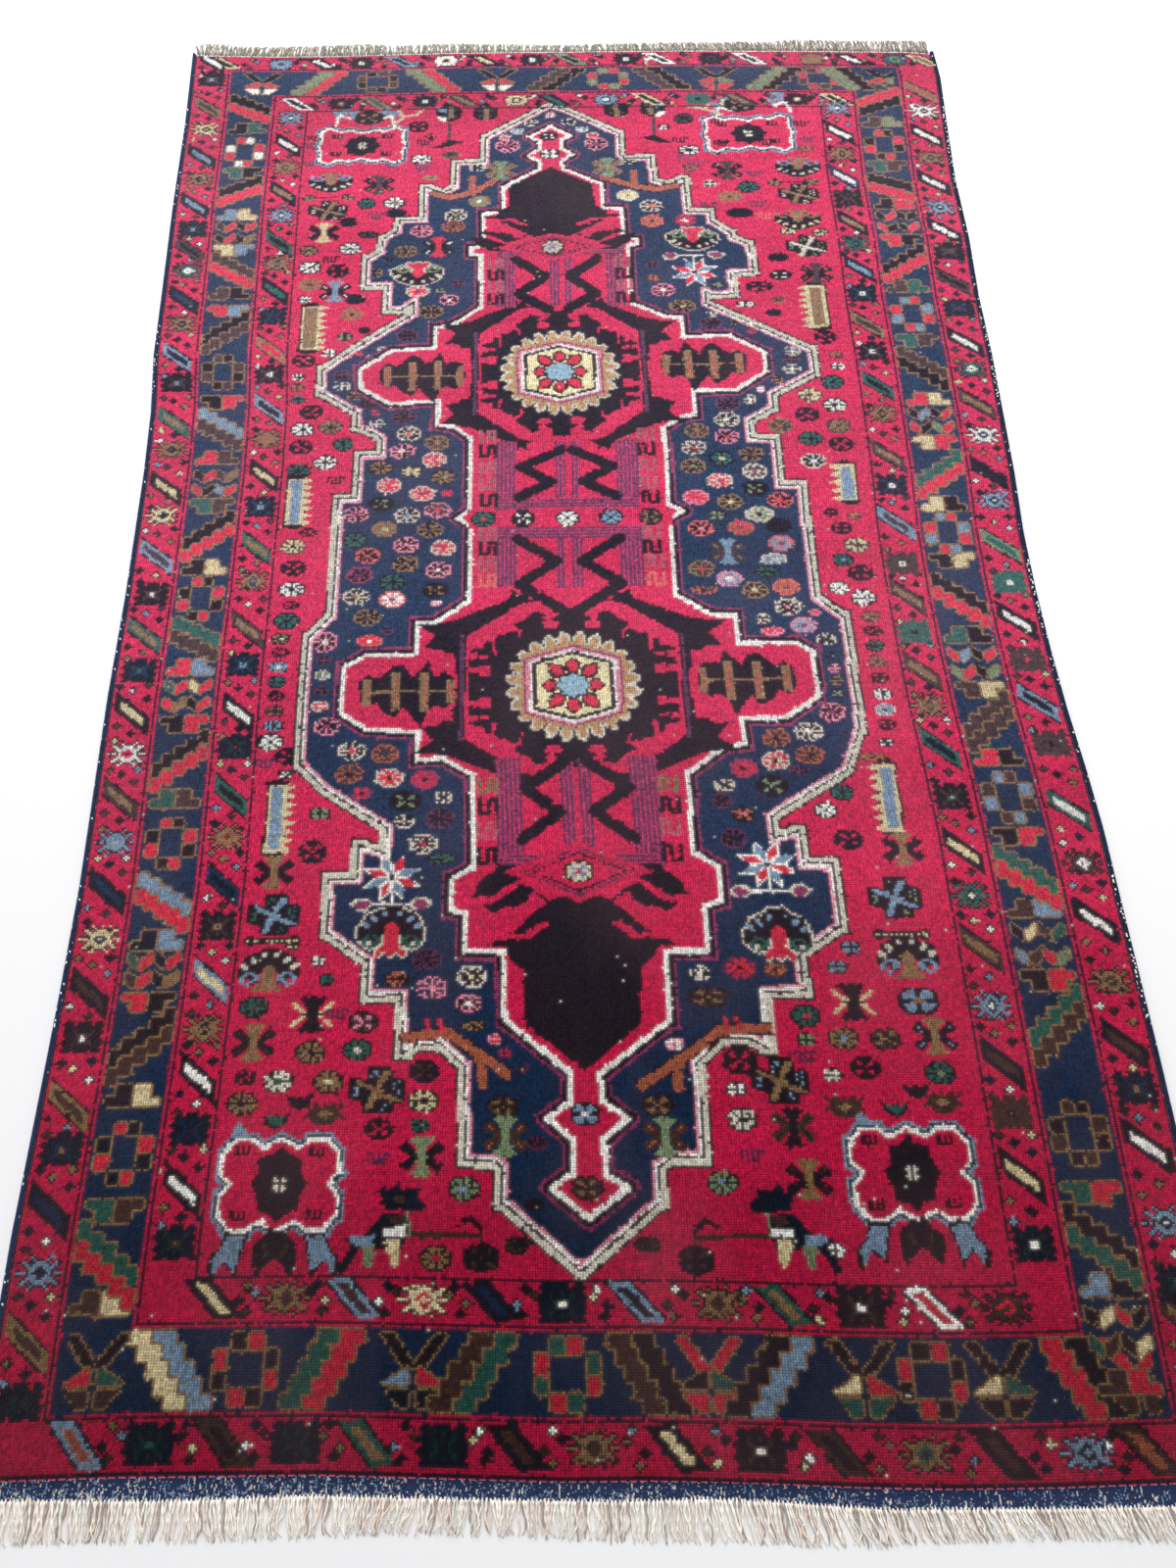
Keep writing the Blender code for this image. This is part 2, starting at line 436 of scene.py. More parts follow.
# Bands, in knots from the rug's edge: start, end and what they are, on each side and end
SIDE_BANDS = {"guard": (1, 20), "main": (22, 47), "inner": (49, 67)}
LINES_ACROSS = (0, 20, 48, 67)
NEAR_BANDS = {"guard": (1, 19), "main": (21, 51), "inner": (53, 69)}
NEAR_LINES = (0, 19, 52, 69)
FAR_BANDS = {"guard": (1, 13), "main": (15, 38), "inner": (40, 53)}
FAR_LINES = (0, 13, 39, 53)


def rule_bands():
    """Fill the main border with navy and draw the lines between the bands."""
    depth_u = np.minimum(np.arange(COLUMNS), COLUMNS - 1 - np.arange(COLUMNS))[None, :]
    depth_v = np.arange(ROWS)[:, None]
    depth_far = ROWS - 1 - depth_v

    def deeper(across, near, far):
        return (depth_u >= across) & (depth_v >= near) & (depth_far >= far)

    main = deeper(SIDE_BANDS["main"][0], NEAR_BANDS["main"][0], FAR_BANDS["main"][0])
    main &= ~deeper(SIDE_BANDS["main"][1], NEAR_BANDS["main"][1], FAR_BANDS["main"][1])
    knots[main] = LETTERS.index("N")
    for across, near, far in zip(LINES_ACROSS, NEAR_LINES, FAR_LINES):
        ring = deeper(across, near, far) & ~deeper(across + 1, near + 1, far + 1)
        knots[ring] = LETTERS.index("D")


# Outlines of the navy medallion and of the crimson one inside it: each the inner edge of its
# white line, from the near tip round the left side to the far tip, then the right side
NAVY_LEFT = [
    (-22, -893), (-105, -825), (-105, -790), (-113, -782), (-147, -780), (-147, -680), (-176, -653),
    (-206, -653), (-222, -663), (-222, -597), (-264, -597), (-264, -558), (-317, -521), (-317, -458),
    (-284, -458), (-284, -416), (-249, -427), (-249, -389), (-330, -336), (-365, -300), (-365, -120),
    (-336, -85), (-336, 104), (-310, 104), (-310, 180), (-278, 180), (-278, 210), (-288, 221),
    (-316, 235), (-318, 262), (-374, 300), (-374, 339), (-330, 377), (-272, 422), (-239, 447),
    (-239, 478), (-262, 459), (-281, 460), (-281, 509), (-316, 509), (-316, 560), (-295, 578),
    (-294, 603), (-270, 622), (-268, 643), (-229, 643), (-229, 716), (-200, 703), (-178, 717),
    (-178, 770), (-130, 772), (-130, 829), (-22, 903),
]
NAVY_RIGHT = [
    (65, -825), (65, -790), (80, -780), (115, -780), (115, -678), (146, -650), (180, -650),
    (199, -661), (199, -597), (247, -597), (244, -555), (297, -521), (297, -446), (262, -446),
    (262, -404), (229, -413), (229, -381), (241, -372), (330, -319), (354, -260), (354, -100),
    (318, -67), (318, 115), (288, 115), (288, 196), (255, 199), (255, 235), (293, 258), (292, 282),
    (361, 322), (361, 362), (330, 381), (244, 435), (209, 457), (210, 487), (224, 478), (252, 480),
    (252, 523), (286, 524), (286, 578), (260, 592), (258, 603), (229, 630), (228, 650), (191, 650),
    (193, 725), (168, 712), (142, 722), (139, 774), (98, 774), (89, 784), (91, 833), (5, 890),
]
CRIMSON_LEFT = [
    (-12, -848), (-58, -812), (-31, -795), (-31, -764), (-61, -739), (-33, -720), (-31, -691),
    (-107, -630), (-107, -552), (-155, -550), (-155, -503), (-172, -500), (-172, -456), (-146, -442),
    (-146, -323), (-184, -300), (-218, -302), (-218, -262), (-284, -258), (-320, -233),
    (-319, -162), (-288, -143), (-223, -143), (-223, -96), (-197, -94), (-154, -63), (-154, 56),
    (-173, 70), (-154, 85), (-154, 207), (-178, 228), (-203, 231), (-203, 276), (-272, 271),
    (-319, 303), (-322, 342), (-274, 379), (-211, 383), (-211, 423), (-184, 426), (-141, 460),
    (-141, 564), (-157, 567), (-157, 586), (-137, 589), (-137, 660), (-104, 662), (-104, 718),
    (-45, 757), (-45, 772), (-66, 786), (-43, 804), (-43, 817), (-63, 831), (-22, 858),
]
CRIMSON_RIGHT = [
    (37, -812), (10, -797), (10, -764), (39, -740), (10, -718), (8, -693), (91, -633), (91, -553),
    (142, -553), (142, -498), (163, -491), (163, -445), (133, -425), (133, -324), (180, -289),
    (209, -285), (209, -249), (264, -249), (310, -218), (311, -148), (288, -133), (213, -133),
    (213, -91), (180, -89), (134, -58), (134, 63), (156, 76), (134, 90), (134, 220), (161, 240),
    (182, 242), (182, 287), (244, 287), (293, 322), (295, 362), (240, 398), (174, 396), (174, 434),
    (149, 436), (99, 464), (98, 580), (115, 582), (114, 598), (94, 599), (92, 665), (61, 667),
    (61, 721), (-1, 757), (-2, 772), (18, 787), (-2, 804), (-2, 820), (16, 831),
]
NAVY = NAVY_LEFT + NAVY_RIGHT[::-1]
CRIMSON = CRIMSON_LEFT + CRIMSON_RIGHT[::-1]

# Flowers on the navy medallion: across, along, dyes, then the size where it isn't 36 x 26
NAVY_FLOWERS = [
    (-106, -726, "KBC"), (-68, -765, "VMK", 24, 16), (-72, -830, "SKS", 20, 14, 4),
    (-115, -651, "PEP", 16, 12, 4), (-104, -667, "VPK", 16, 12, 4), (-84, -686, "VKS", 16, 12, 4),
    (-141, -635, "KCK", 30, 12), (-146, -609, "PKW", 30, 20), (-190, -591, "PNP"), (-143, -578, "WKY"),
    (-232, -580, "KTK", 30, 20), (-197, -557, "VMK"), (-300, -285, "WKE"), (-257, -290, "TON"),
    (-302, -317, "TOK"), (-250, -323, "WEK"), (-205, -326, "MPK"), (-285, -344, "MPK", 26, 18, 4),
    (-229, -355, "SKS", 40, 28), (-181, -351, "WKN", 22, 18, 4), (-185, -379, "VMK", 36, 28),
    (-229, -382, "WKN", 24, 18, 4), (-205, -412, "WKE"), (-181, -432, "SGK", 38, 14), (69, -726, "KBC"),
    (247, -275, "TOK"), (290, -266, "WKW"), (288, -299, "TOK"), (244, -306, "WEK"), (202, -316, "MPK"),
    (271, -320, "VMK", 26, 14, 4), (236, -341, "SKS", 40, 30), (175, -339, "WKN", 26, 18, 4),
    (171, -360, "VMK", 26, 20, 4), (196, -379, "KTP", 28, 20, 4), (181, -410, "VMK", 34, 26),
    (128, -577, "WKW", 24, 18), (175, -571, "VPK", 40, 28), (217, -573, "BTK", 28, 18),
    (135, -605, "KBC", 48, 26), (93, -659, "PWM", 20, 14, 4), (-281, 159, "KCB"),
    (-236, 152, "SYS", 32, 18, 4), (-204, 172, "WPE"), (-190, 141, "KCS"), (-268, 128, "WPE"),
    (-220, 113, "WPM"), (-278, 97, "SKS"), (-184, 113, "VPV", 18, 12, 4), (-313, 79, "PKM"),
    (-197, 85, "POE"), (-240, 76, "WKL"), (-271, 54, "YCY"), (-207, 52, "CKB"), (-312, 36, "KGD"),
    (-240, 27, "PKP"), (-188, 21, "WPM"), (-293, 10, "OKT"), (-240, -4, "YKC"), (-194, -15, "PKW"),
    (-303, -21, "MKV"), (-257, -33, "SGK"), (-198, -47, "SKC"), (-306, -56, "WKC"), (-256, -61, "OWM"),
    (-195, -68, "PWM", 16, 10, 4), (-289, -88, "CKB"), (-261, -109, "VMV", 16, 12, 4),
    (-285, -125, "OPW", 36, 18), (-345, -125, "PMW", 34, 30), (-345, -153, "VKV", 20, 14, 4),
    (-345, -175, "WSW", 20, 14, 4), (-345, -198, "VMV", 20, 14, 4), (-346, -221, "WEW", 22, 16, 4),
    (-335, -250, "PKM", 34, 26), (170, 153, "CKS"), (212, 166, "SGY"), (255, 173, "CKB"),
    (206, 128, "WPM"), (257, 142, "WOM"), (170, 99, "PPE"), (255, 113, "SKS"), (218, 91, "YKY"),
    (289, 92, "OKE"), (198, 68, "SSG", 24, 18, 4), (257, 69, "WSK", 40, 26), (173, 47, "OMP"),
    (229, 47, "YPM"), (282, 50, "GKD"), (283, 20, "OLM"), (271, -5, "WLW", 36, 18, 6), (170, -19, "YOE"),
    (258, -25, "KGK", 36, 16), (206, -36, "PLW"), (240, -54, "CKY"), (283, -50, "OTB"),
    (171, -53, "TBK", 34, 14), (282, -81, "WKP"), (247, -100, "WKN", 20, 16, 4),
    (317, -91, "PEP", 16, 10, 4), (300, -110, "PLM", 36, 24), (257, -118, "PPM", 34, 14),
    (327, -132, "WKN", 28, 18, 4), (334, -158, "LNL", 18, 14, 4), (334, -176, "PVP", 18, 12, 4),
    (334, -194, "CKC", 18, 12, 4), (334, -212, "LSL", 18, 12, 4), (323, -239, "PKM", 34, 26),
    (-250, 250, "VMK"), (-242, 219, "WKO"), (-200, 202, "YBC"), (-251, 188, "PKW"),
    (-290, 238, "WNW", 22, 16, 4), (-292, 258, "VPV", 14, 12, 4), (-250, 405, "VMK"),
    (-215, 452, "CKB", 40, 24), (-187, 475, "PKW", 32, 22), (-237, 494, "WPM", 38, 22),
    (-202, 494, "SSK", 20, 12, 4), (-174, 508, "VMV", 22, 16, 4), (-258, 578, "CBK"), (-234, 622, "PKP"),
    (-184, 621, "KOK", 26, 18), (-181, 650, "WKC", 30, 20), (-283, 561, "VMK", 16, 12, 4),
    (-302, 534, "CKC", 16, 20, 4), (-285, 377, "WNW", 22, 14, 4), (-302, 362, "WNW", 20, 14, 4),
    (-322, 371, "VPV", 14, 10, 4), (-347, 330, "VMV", 26, 20, 4), (-345, 309, "WNW", 26, 18, 4),
    (-326, 290, "CKC", 22, 16, 4), (-305, 275, "KBK", 24, 18, 4), (229, 265, "VMK"), (225, 235, "WKW"),
    (180, 216, "YBC"), (222, 205, "PKE"), (173, 186, "WOE"), (261, 273, "WNW", 20, 18, 4),
    (279, 290, "PWP", 14, 12, 4), (305, 308, "CKC", 18, 14, 4), (330, 328, "WNW", 26, 18, 4),
    (330, 346, "VMV", 26, 14, 4), (334, 362, "WNW", 26, 18, 4), (216, 418, "VMK"),
    (218, 437, "WNW", 20, 12, 4), (174, 454, "CKY", 40, 26), (146, 487, "PKW"),
    (132, 540, "VMV", 22, 16, 4), (132, 512, "BTB", 22, 16, 4), (230, 496, "SSK", 20, 12, 4),
    (275, 402, "VPV", 16, 12, 4), (250, 418, "SKS", 16, 12, 4), (-95, 810, "PKM", 40, 30),
    (-100, 831, "WPM", 22, 14, 4), (-78, 845, "WLW", 24, 14, 4), (-55, 864, "WKN", 24, 16, 4),
    (-22, 882, "PWM", 18, 14, 4), (-145, 761, "WKN", 26, 18, 4), (-141, 684, "YSW", 36, 24),
    (-179, 655, "WKS"), (-183, 630, "TBK"), (53, 812, "PKM", 40, 28), (48, 831, "WPM", 24, 14, 4),
    (30, 846, "WLW", 24, 14, 4), (8, 865, "WKN", 24, 16, 4), (107, 768, "WKN", 28, 14, 4),
    (100, 692, "WYS", 36, 24), (137, 667, "WKO", 38, 26), (137, 634, "OTB", 38, 26),
    (190, 634, "VEW", 36, 26),
]
NAVY_BUTTERFLIES = [
    (-105, -759, "SBT"), (76, -760, "SBT"), (208, 9, "LBS"), (-206, 585, "EKW"), (-105, 753, "SCB"),
    (70, 757, "SCB"),
]
NAVY_STARS = [(-242, -455), (220, -444), (198, 523)]

# Flowers on the crimson field, in the same way
FIELD_FLOWERS = [
    (-404, -720, "KCK"), (-270, -630, "KBP"), (-329, -664, "KCK"), (-275, -662, "KGA"),
    (-402, -691, "KKR", 24, 18), (-364, -696, "KAG"), (-306, -697, "KCY"), (-197, -686, "KKB"),
    (-197, -719, "KYK"), (-199, -745, "KGC", 24, 16, 4), (-246, -749, "KKR", 34, 24), (-150, -812, "KSL"),
    (-179, -882, "KCR"), (-91, -870, "KOK", 30, 18), (-399, -611, "KGB"), (-382, -291, "KKR"),
    (-343, -421, "KDR", 36, 30), (-337, -370, "KSK", 28, 18, 4), (-384, -316, "KBW", 22, 14, 4),
    (-407, -271, "KWK"), (-405, -119, "KCW", 26, 18), (-405, -140, "KKR", 24, 16),
    (-405, -162, "KLW", 26, 18), (-405, -184, "KGK", 26, 18), (-405, -205, "GKR", 24, 16),
    (-405, -227, "KBT", 26, 18), (-405, -248, "KLK", 26, 18), (-399, -92, "KGK"),
    (-395, -67, "KKR", 24, 14), (-396, -42, "KWK", 40, 24), (-396, -8, "GKR"), (-399, 27, "BYK"),
    (-379, 50, "KKR", 26, 16), (-400, 156, "KGK"), (-362, 170, "KWK"), (-337, 202, "KGK", 30, 24),
    (-399, 198, "KDR"), (-399, 230, "KWK"), (-358, 234, "BCK"), (-388, 262, "KKR"),
    (-409, 286, "KGK", 24, 16, 4), (-412, 308, "BTB", 22, 16, 4), (-412, 328, "KWK", 22, 14, 4),
    (-406, 359, "KDR"), (-368, 373, "KWK", 24, 18, 4), (-346, 405, "KSK", 24, 16, 4),
    (-337, 449, "CTK", 34, 26), (-413, 481, "KWK", 22, 14, 4), (-407, 512, "CTB"),
    (-334, 480, "KDK", 32, 20), (-364, 539, "KKR", 36, 28), (-409, 548, "KWK"),
    (-413, 583, "KCK", 30, 22), (-353, 644, "KMK", 30, 22), (-319, 616, "KBK", 34, 16),
    (-317, 417, "KDK", 20, 14, 4), (-326, -557, "KWK", 18, 14, 4), (-315, -580, "KGK", 20, 16, 4),
    (-347, 586, "KWK"), (-245, 861, "KKR", 34, 28, 4), (-223, 837, "KPK", 22, 14, 4), (-238, 783, "KWK"),
    (-190, 793, "TBK", 34, 20), (-280, 685, "KWC"), (-325, 684, "KGK", 30, 24),
    (-277, 662, "KDK", 34, 20), (-222, 740, "TSB", 30, 12, 4), (160, -709, "KWK", 24, 16, 4),
    (336, -655, "KBC"), (270, -695, "KAK", 22, 16, 4), (393, -694, "KGS"), (252, -878, "KWK", 20, 18, 4),
    (163, -742, "KAK"), (136, -808, "KSL"), (50, -870, "KOK", 30, 18), (323, -351, "KGK", 30, 22),
    (299, -374, "KWK", 30, 22), (323, -413, "KDR"), (309, -548, "KLK", 24, 16, 4),
    (290, -571, "BLK", 24, 16, 4), (247, -628, "KGE"), (288, -654, "KCL", 36, 26), (309, -687, "KKR"),
    (166, -678, "KKR", 40, 32), (244, -655, "KSK", 20, 16, 4), (366, -303, "BTK", 34, 12),
    (387, -283, "KWK", 20, 12, 4), (392, -98, "BTK", 26, 18), (392, -120, "KKR", 26, 16),
    (392, -143, "KGK", 26, 18), (392, -167, "BTB", 26, 18), (392, -190, "KKR", 24, 16),
    (392, -214, "KWK", 26, 18), (392, -237, "WLK", 26, 18), (392, -258, "KKR", 24, 16), (386, -69, "KWK"),
    (354, -53, "BWB", 30, 22), (387, -30, "KKR"), (365, -8, "KGL", 30, 22), (387, 16, "BYB"),
    (369, 44, "KDR", 30, 22), (390, 64, "BTB", 20, 14, 4), (358, 70, "KKR", 20, 14, 4), (343, 159, "WKW"),
    (386, 188, "KKR"), (344, 199, "KGK"), (387, 221, "BCB"), (343, 242, "KDR"), (386, 259, "KWK"),
    (351, 278, "BYB"), (387, 301, "KGK"), (399, 331, "KWK", 22, 14, 4), (399, 353, "BTB", 22, 14, 4),
    (386, 388, "KKR"), (302, 223, "CBT"), (295, 491, "KDR", 42, 22), (331, 551, "KDK", 34, 18, 4),
    (331, 514, "KKW", 36, 20), (323, 464, "TBK", 24, 14, 4), (271, 456, "KWK", 30, 14, 4),
    (313, 438, "KDK", 26, 14, 4), (352, 607, "KYK", 26, 16), (403, 602, "KYK", 26, 16),
    (203, 868, "KBK", 34, 26), (168, 848, "KWK", 22, 14, 4), (207, 793, "KWK", 38, 24),
    (206, 752, "BTB", 26, 18), (297, 705, "KGK", 40, 26), (266, 684, "CTB", 42, 24),
    (279, 648, "KDK", 44, 22), (235, 714, "WKW", 22, 16, 4), (400, 790, "BTG", 28, 14, 4),
    (-359, -537, "KYK", 18, 12, 4), (380, -612, "KLC", 48, 34, 4),
]
FIELD_BUTTERFLIES = [
    (-198, -778, "SKD"), (221, -751, "KBD"), (230, -805, "CKB"), (-365, 498, "LKW"), (-306, 725, "BKC"),
    (267, 743, "BKC"),
]
MOTHS = [(305, -612, "KY"), (-331, -621, "KY")]
# Small dark marks: across, along, dye
FIELD_MARKS = [
    (-245, -781, "V"), (171, -780, "V"), (-412, -302, "V"), (243, -674, "V"), (-235, 760, "V"),
    (-376, 565, "K"), (-235, 822, "K"), (193, 818, "K"), (230, 668, "V"), (310, 668, "V"),
    (-310, 655, "V"), (405, 812, "V"), (400, 850, "D"), (-425, 778, "V"), (-420, 838, "K"),
    (-346, 138, "K"), (215, 762, "M"), (200, 775, "M"), (-232, 770, "M"), (312, 735, "V"),
    (-350, 800, "K"), (262, 858, "K"), (262, 806, "K"), (338, 806, "K"), (320, 640, "O"),
    (-425, 820, "V"), (-284, 770, "V"), (-300, -620, "V"),
]

# Guard stripes: along each band, what stands where, and in which dyes
LEFT_GUARD = [
    (-1016, "crab", "DZKA"), (-962, "bar", "CB"), (-892, "star", "LDDD"), (-830, "bar", "DN"),
    (-767, "crab", "DNCD"), (-720, "bar", "CB"), (-644, "crab", "KBWK"), (-594, "bar", "KB"),
    (-527, "star", "YNYN"), (-468, "bar", "DN"), (-404, "star", "LLYL"), (-348, "bar", "BC"),
    (-284, "star", "WRDR"), (-228, "bar", "KY"), (-165, "crab", "DNGN"), (-110, "bar", "GC"),
    (-48, "crab", "KBWK"), (14, "bar", "LB"), (83, "star", "YDYD"), (131, "bar", "KY"),
    (198, "star", "CKCK"), (248, "bar", "GC"), (320, "crab", "KBLK"), (371, "bar", "LK"),
    (436, "star", "CKCK"), (484, "bar", "DN"), (546, "star", "GWGW"), (590, "bar", "BK"),
    (634, "crab", "DZLD"), (686, "bar", "DL"), (746, "star", "CDCK"), (798, "bar", "KL"),
    (864, "star", "YDYK"), (915, "bar", "CB"), (985, "crab", "KBLK"), (1030, "bar", "DW"),
]
LEFT_INNER = [
    (-866, "crab", "DZBC"), (-810, "bar", "KW"), (-748, "crab", "DNKN"), (-692, "bar", "KW"),
    (-636, "star", "CDCK"), (-580, "bar", "LY"), (-514, "crab", "KBCK"), (-462, "bar", "ND"),
    (-399, "star", "CTBK"), (-344, "bar", "GK"), (-277, "crab", "DZKE"), (-227, "bar", "KW"),
    (-158, "crab", "DNLN"), (-103, "bar", "BC"), (-28, "star", "CNCN"), (27, "bar", "GC"),
    (94, "crab", "DNLN"), (148, "bar", "KY"), (214, "star", "CTCB"), (269, "bar", "LK"),
    (334, "crab", "KBWK"), (384, "bar", "CE"), (449, "crab", "DNDN"), (500, "bar", "KG"),
    (556, "star", "CBCK"), (600, "bar", "GK"), (661, "star", "LDWS"), (710, "bar", "DC"),
    (769, "star", "CBCK"), (822, "bar", "KW"), (888, "star", "LDWD"),
]
RIGHT_INNER = [
    (-875, "crab", "DZWK"), (-804, "bar", "KY"), (-738, "crab", "BBKC"), (-685, "bar", "KB"),
    (-620, "star", "LDWD"), (-552, "bar", "BC"), (-487, "star", "GDWD"), (-428, "bar", "KY"),
    (-360, "crab", "KBGW"), (-292, "bar", "GD"), (-231, "star", "CBCK"), (-183, "bar", "BC"),
    (-122, "crab", "GGDK"), (-69, "bar", "BC"), (-15, "crab", "BBWK"), (51, "bar", "LB"),
    (115, "crab", "DNWN"), (165, "bar", "BC"), (241, "star", "CKCK"), (294, "bar", "GK"),
    (358, "crab", "KBWK"), (410, "bar", "CB"), (474, "crab", "DNWN"), (524, "bar", "DL"),
    (576, "star", "GDGD"), (622, "bar", "KC"), (676, "crab", "KBBK"), (722, "bar", "NW"),
    (777, "star", "CKCB"), (826, "bar", "KW"), (886, "star", "LDWD"),
]
RIGHT_GUARD = [
    (-1010, "crab", "KBCK"), (-950, "bar", "BC"), (-912, "crab", "DZLK"), (-853, "star", "LDWD"),
    (-776, "bar", "KW"), (-714, "crab", "DNCB"), (-665, "bar", "KB"), (-591, "star", "CBCK"),
    (-518, "bar", "KW"), (-448, "star", "BWBW"), (-376, "bar", "GW"), (-288, "crab", "BBKK"),
    (-230, "bar", "LK"), (-167, "crab", "BBEK"), (-109, "bar", "KW"), (-48, "crab", "GGWK"),
    (10, "bar", "SG"), (86, "star", "LDWD"), (134, "bar", "DK"), (199, "star", "WNWN"),
    (256, "bar", "BC"), (322, "star", "GWGW"), (373, "bar", "KW"), (442, "crab", "DNBK"),
    (495, "bar", "BK"), (556, "crab", "KBBK"), (602, "bar", "KW"), (654, "star", "LDWD"),
    (708, "bar", "DW"), (765, "star", "CBTK"), (816, "bar", "KW"), (876, "star", "WDWD"),
    (922, "bar", "CT"),
]
NEAR_GUARD = [
    (-545, "bar", "LT"), (-468, "crab", "DZGC"), (-395, "bar", "BK"), (-320, "crab", "DZKA"),
    (-245, "bar", "GC"), (-167, "crab", "DZKG"), (-92, "bar", "KB"), (-14, "star", "CBBK"),
    (70, "bar", "KY"), (156, "crab", "KBWK"), (233, "bar", "BK"), (320, "star", "CGBC"),
    (400, "bar", "KB"), (483, "star", "LKLW"), (545, "bar", "BT"),
]
NEAR_INNER = [
    (-416, "bar", "KY"), (-340, "star", "CBBK"), (-267, "bar", "LB"), (-190, "star", "YRYR"),
    (-120, "bar", "KN"), (-42, "crab", "DZWL"), (36, "bar", "LD"), (122, "star", "CBBK"),
    (192, "bar", "GC"), (273, "crab", "KBWE"), (347, "bar", "WE"), (427, "star", "BEBK"),
]
FAR_GUARD = [
    (-590, "bar", "YK"), (-492, "star", "LLVL"), (-420, "bar", "KW"), (-348, "crab", "KBWK"),
    (-280, "bar", "LD"), (-200, "star", "WYDD"), (-135, "bar", "KY"), (-50, "crab", "KBWK"),
    (15, "bar", "SK"), (113, "crab", "KBWK"), (170, "bar", "WK"), (260, "crab", "KBKK"),
    (325, "bar", "WD"), (434, "star", "CTCB"), (500, "bar", "KW"), (577, "star", "GSGD"),
    (625, "bar", "YC"),
]
FAR_INNER = [
    (-455, "bar", "WK"), (-380, "crab", "KBCY"), (-320, "bar", "CG"), (-235, "crab", "DZWW"),
    (-170, "bar", "BC"), (-80, "star", "YDYD"), (-15, "bar", "KG"), (75, "star", "LDWS"),
    (145, "bar", "YK"), (230, "crab", "GGDK"), (300, "bar", "BC"), (398, "crab", "KBYW"),
    (465, "bar", "YK"),
]

# Main border, along each side: leaves run from the left edge's place to the right edge's
LEFT_MAIN = [
    ("tee", -925, "BY", 1), ("leaf", -850, -920, "GE"), ("tee", -830, "GB", -1), ("checker", -772, "ED"),
    ("tee", -712, "KY", 1), ("leaf", -690, -620, "KB"), ("tee", -602, "EK", -1), ("flags", -578, "BEDC"),
    ("flags", -555, "GEDE"), ("tee", -532, "DL", 1), ("leaf", -455, -510, "LE"), ("checker", -407, "EK"),
    ("tee", -350, "GB", 1), ("leaf", -330, -262, "KE"), ("tee", -242, "KE", -1), ("flags", -215, "ECKE"),
    ("flags", -189, "GEYE"), ("tee", -162, "EL", 1), ("leaf", -95, -138, "GB"), ("checker", -55, "EK"),
    ("tee", -6, "KY", 1), ("leaf", 15, 78, "KE"), ("tee", 100, "GB", -1), ("flags", 125, "EKLE"),
    ("flags", 150, "KEBC"), ("tee", 180, "EB", 1), ("leaf", 262, 205, "LB"), ("tee", 285, "KE", -1),
    ("checker", 340, "BK"), ("leaf", 385, 450, "KB"), ("tee", 463, "EL", -1), ("tee", 495, "BK", 1),
    ("leaf", 572, 517, "BE"), ("tee", 590, "YL", -1), ("flags", 612, "KEDC"), ("flags", 638, "BEKE"),
    ("tee", 663, "LY", 1), ("leaf", 698, 738, "KE"), ("tee", 762, "GK", -1), ("checker", 808, "EW"),
    ("tee", 862, "KG", 1), ("leaf", 936, 888, "KE"),
]
RIGHT_MAIN = [
    ("tee", -1005, "BE", 1), ("flags", -970, "GBKY"), ("flags", -943, "KYEK"), ("tee", -915, "LD", 1),
    ("leaf", -842, -908, "KG"), ("tee", -820, "GE", -1), ("checker", -760, "BK"),
    ("leaf", -680, -602, "GB"), ("tee", -588, "KE", -1), ("flags", -562, "LBES"), ("flags", -532, "KYBG"),
    ("tee", -505, "BL", 1), ("leaf", -432, -496, "GE"), ("tee", -410, "KE", -1), ("checker", -360, "LB"),
    ("tee", -308, "EK", 1), ("leaf", -290, -222, "BB"), ("tee", -208, "BY", -1), ("flags", -184, "SEKS"),
    ("flags", -158, "ELKE"), ("tee", -130, "GK", 1), ("leaf", -42, -108, "KE"), ("tee", -10, "KY", -1),
    ("checker", 33, "LE"), ("tee", 80, "YK", 1), ("leaf", 100, 163, "GE"), ("tee", 190, "YE", -1),
    ("flags", 215, "EKSE"), ("flags", 240, "KLKE"), ("tee", 265, "EY", 1), ("leaf", 358, 292, "BK"),
    ("tee", 380, "GB", -1), ("checker", 430, "LE"), ("tee", 484, "BG", 1), ("leaf", 503, 562, "KE"),
    ("tee", 585, "EK", -1), ("flags", 610, "EKDE"), ("flags", 635, "KEDK"), ("tee", 660, "KE", 1),
    ("leaf", 717, 680, "KE"), ("tee", 748, "GB", -1), ("checker", 796, "EK"), ("tee", 848, "BS", 1),
    ("leaf", 880, 918, "EK"),
]
# The ends: leaves run from the near edge's place to the far edge's
NEAR_MAIN = [
    ("figure", -535, "KEGB"), ("leaf", -425, -488, "YL"), ("checker", -376, "EK"),
    ("leaf", -325, -268, "GE"), ("figure", -200, "KLED"), ("leaf", -170, -106, "BG"),
    ("checker", -40, "EG"), ("leaf", 72, 18, "BK"), ("figure", 108, "EKGE"), ("leaf", 136, 206, "KL"),
    ("figure", 267, "KYEG"), ("checker", 338, "EK"), ("figure", 410, "KYGK"), ("leaf", 520, 470, "EK"),
    ("figure", 548, "EKGB"),
]
FAR_MAIN = [
    ("figure", -520, "KEEW"), ("leaf", -455, -385, "SE"), ("checker", -320, "BK"),
    ("leaf", -190, -255, "SE"), ("figure", -112, "KEEW"), ("leaf", -50, 28, "BK"), ("checker", 80, "ES"),
    ("leaf", 205, 135, "BK"), ("figure", 265, "KESE"), ("leaf", 330, 400, "SK"), ("checker", 440, "EB"),
    ("leaf", 518, 462, "SK"), ("figure", 552, "KESB"),
]


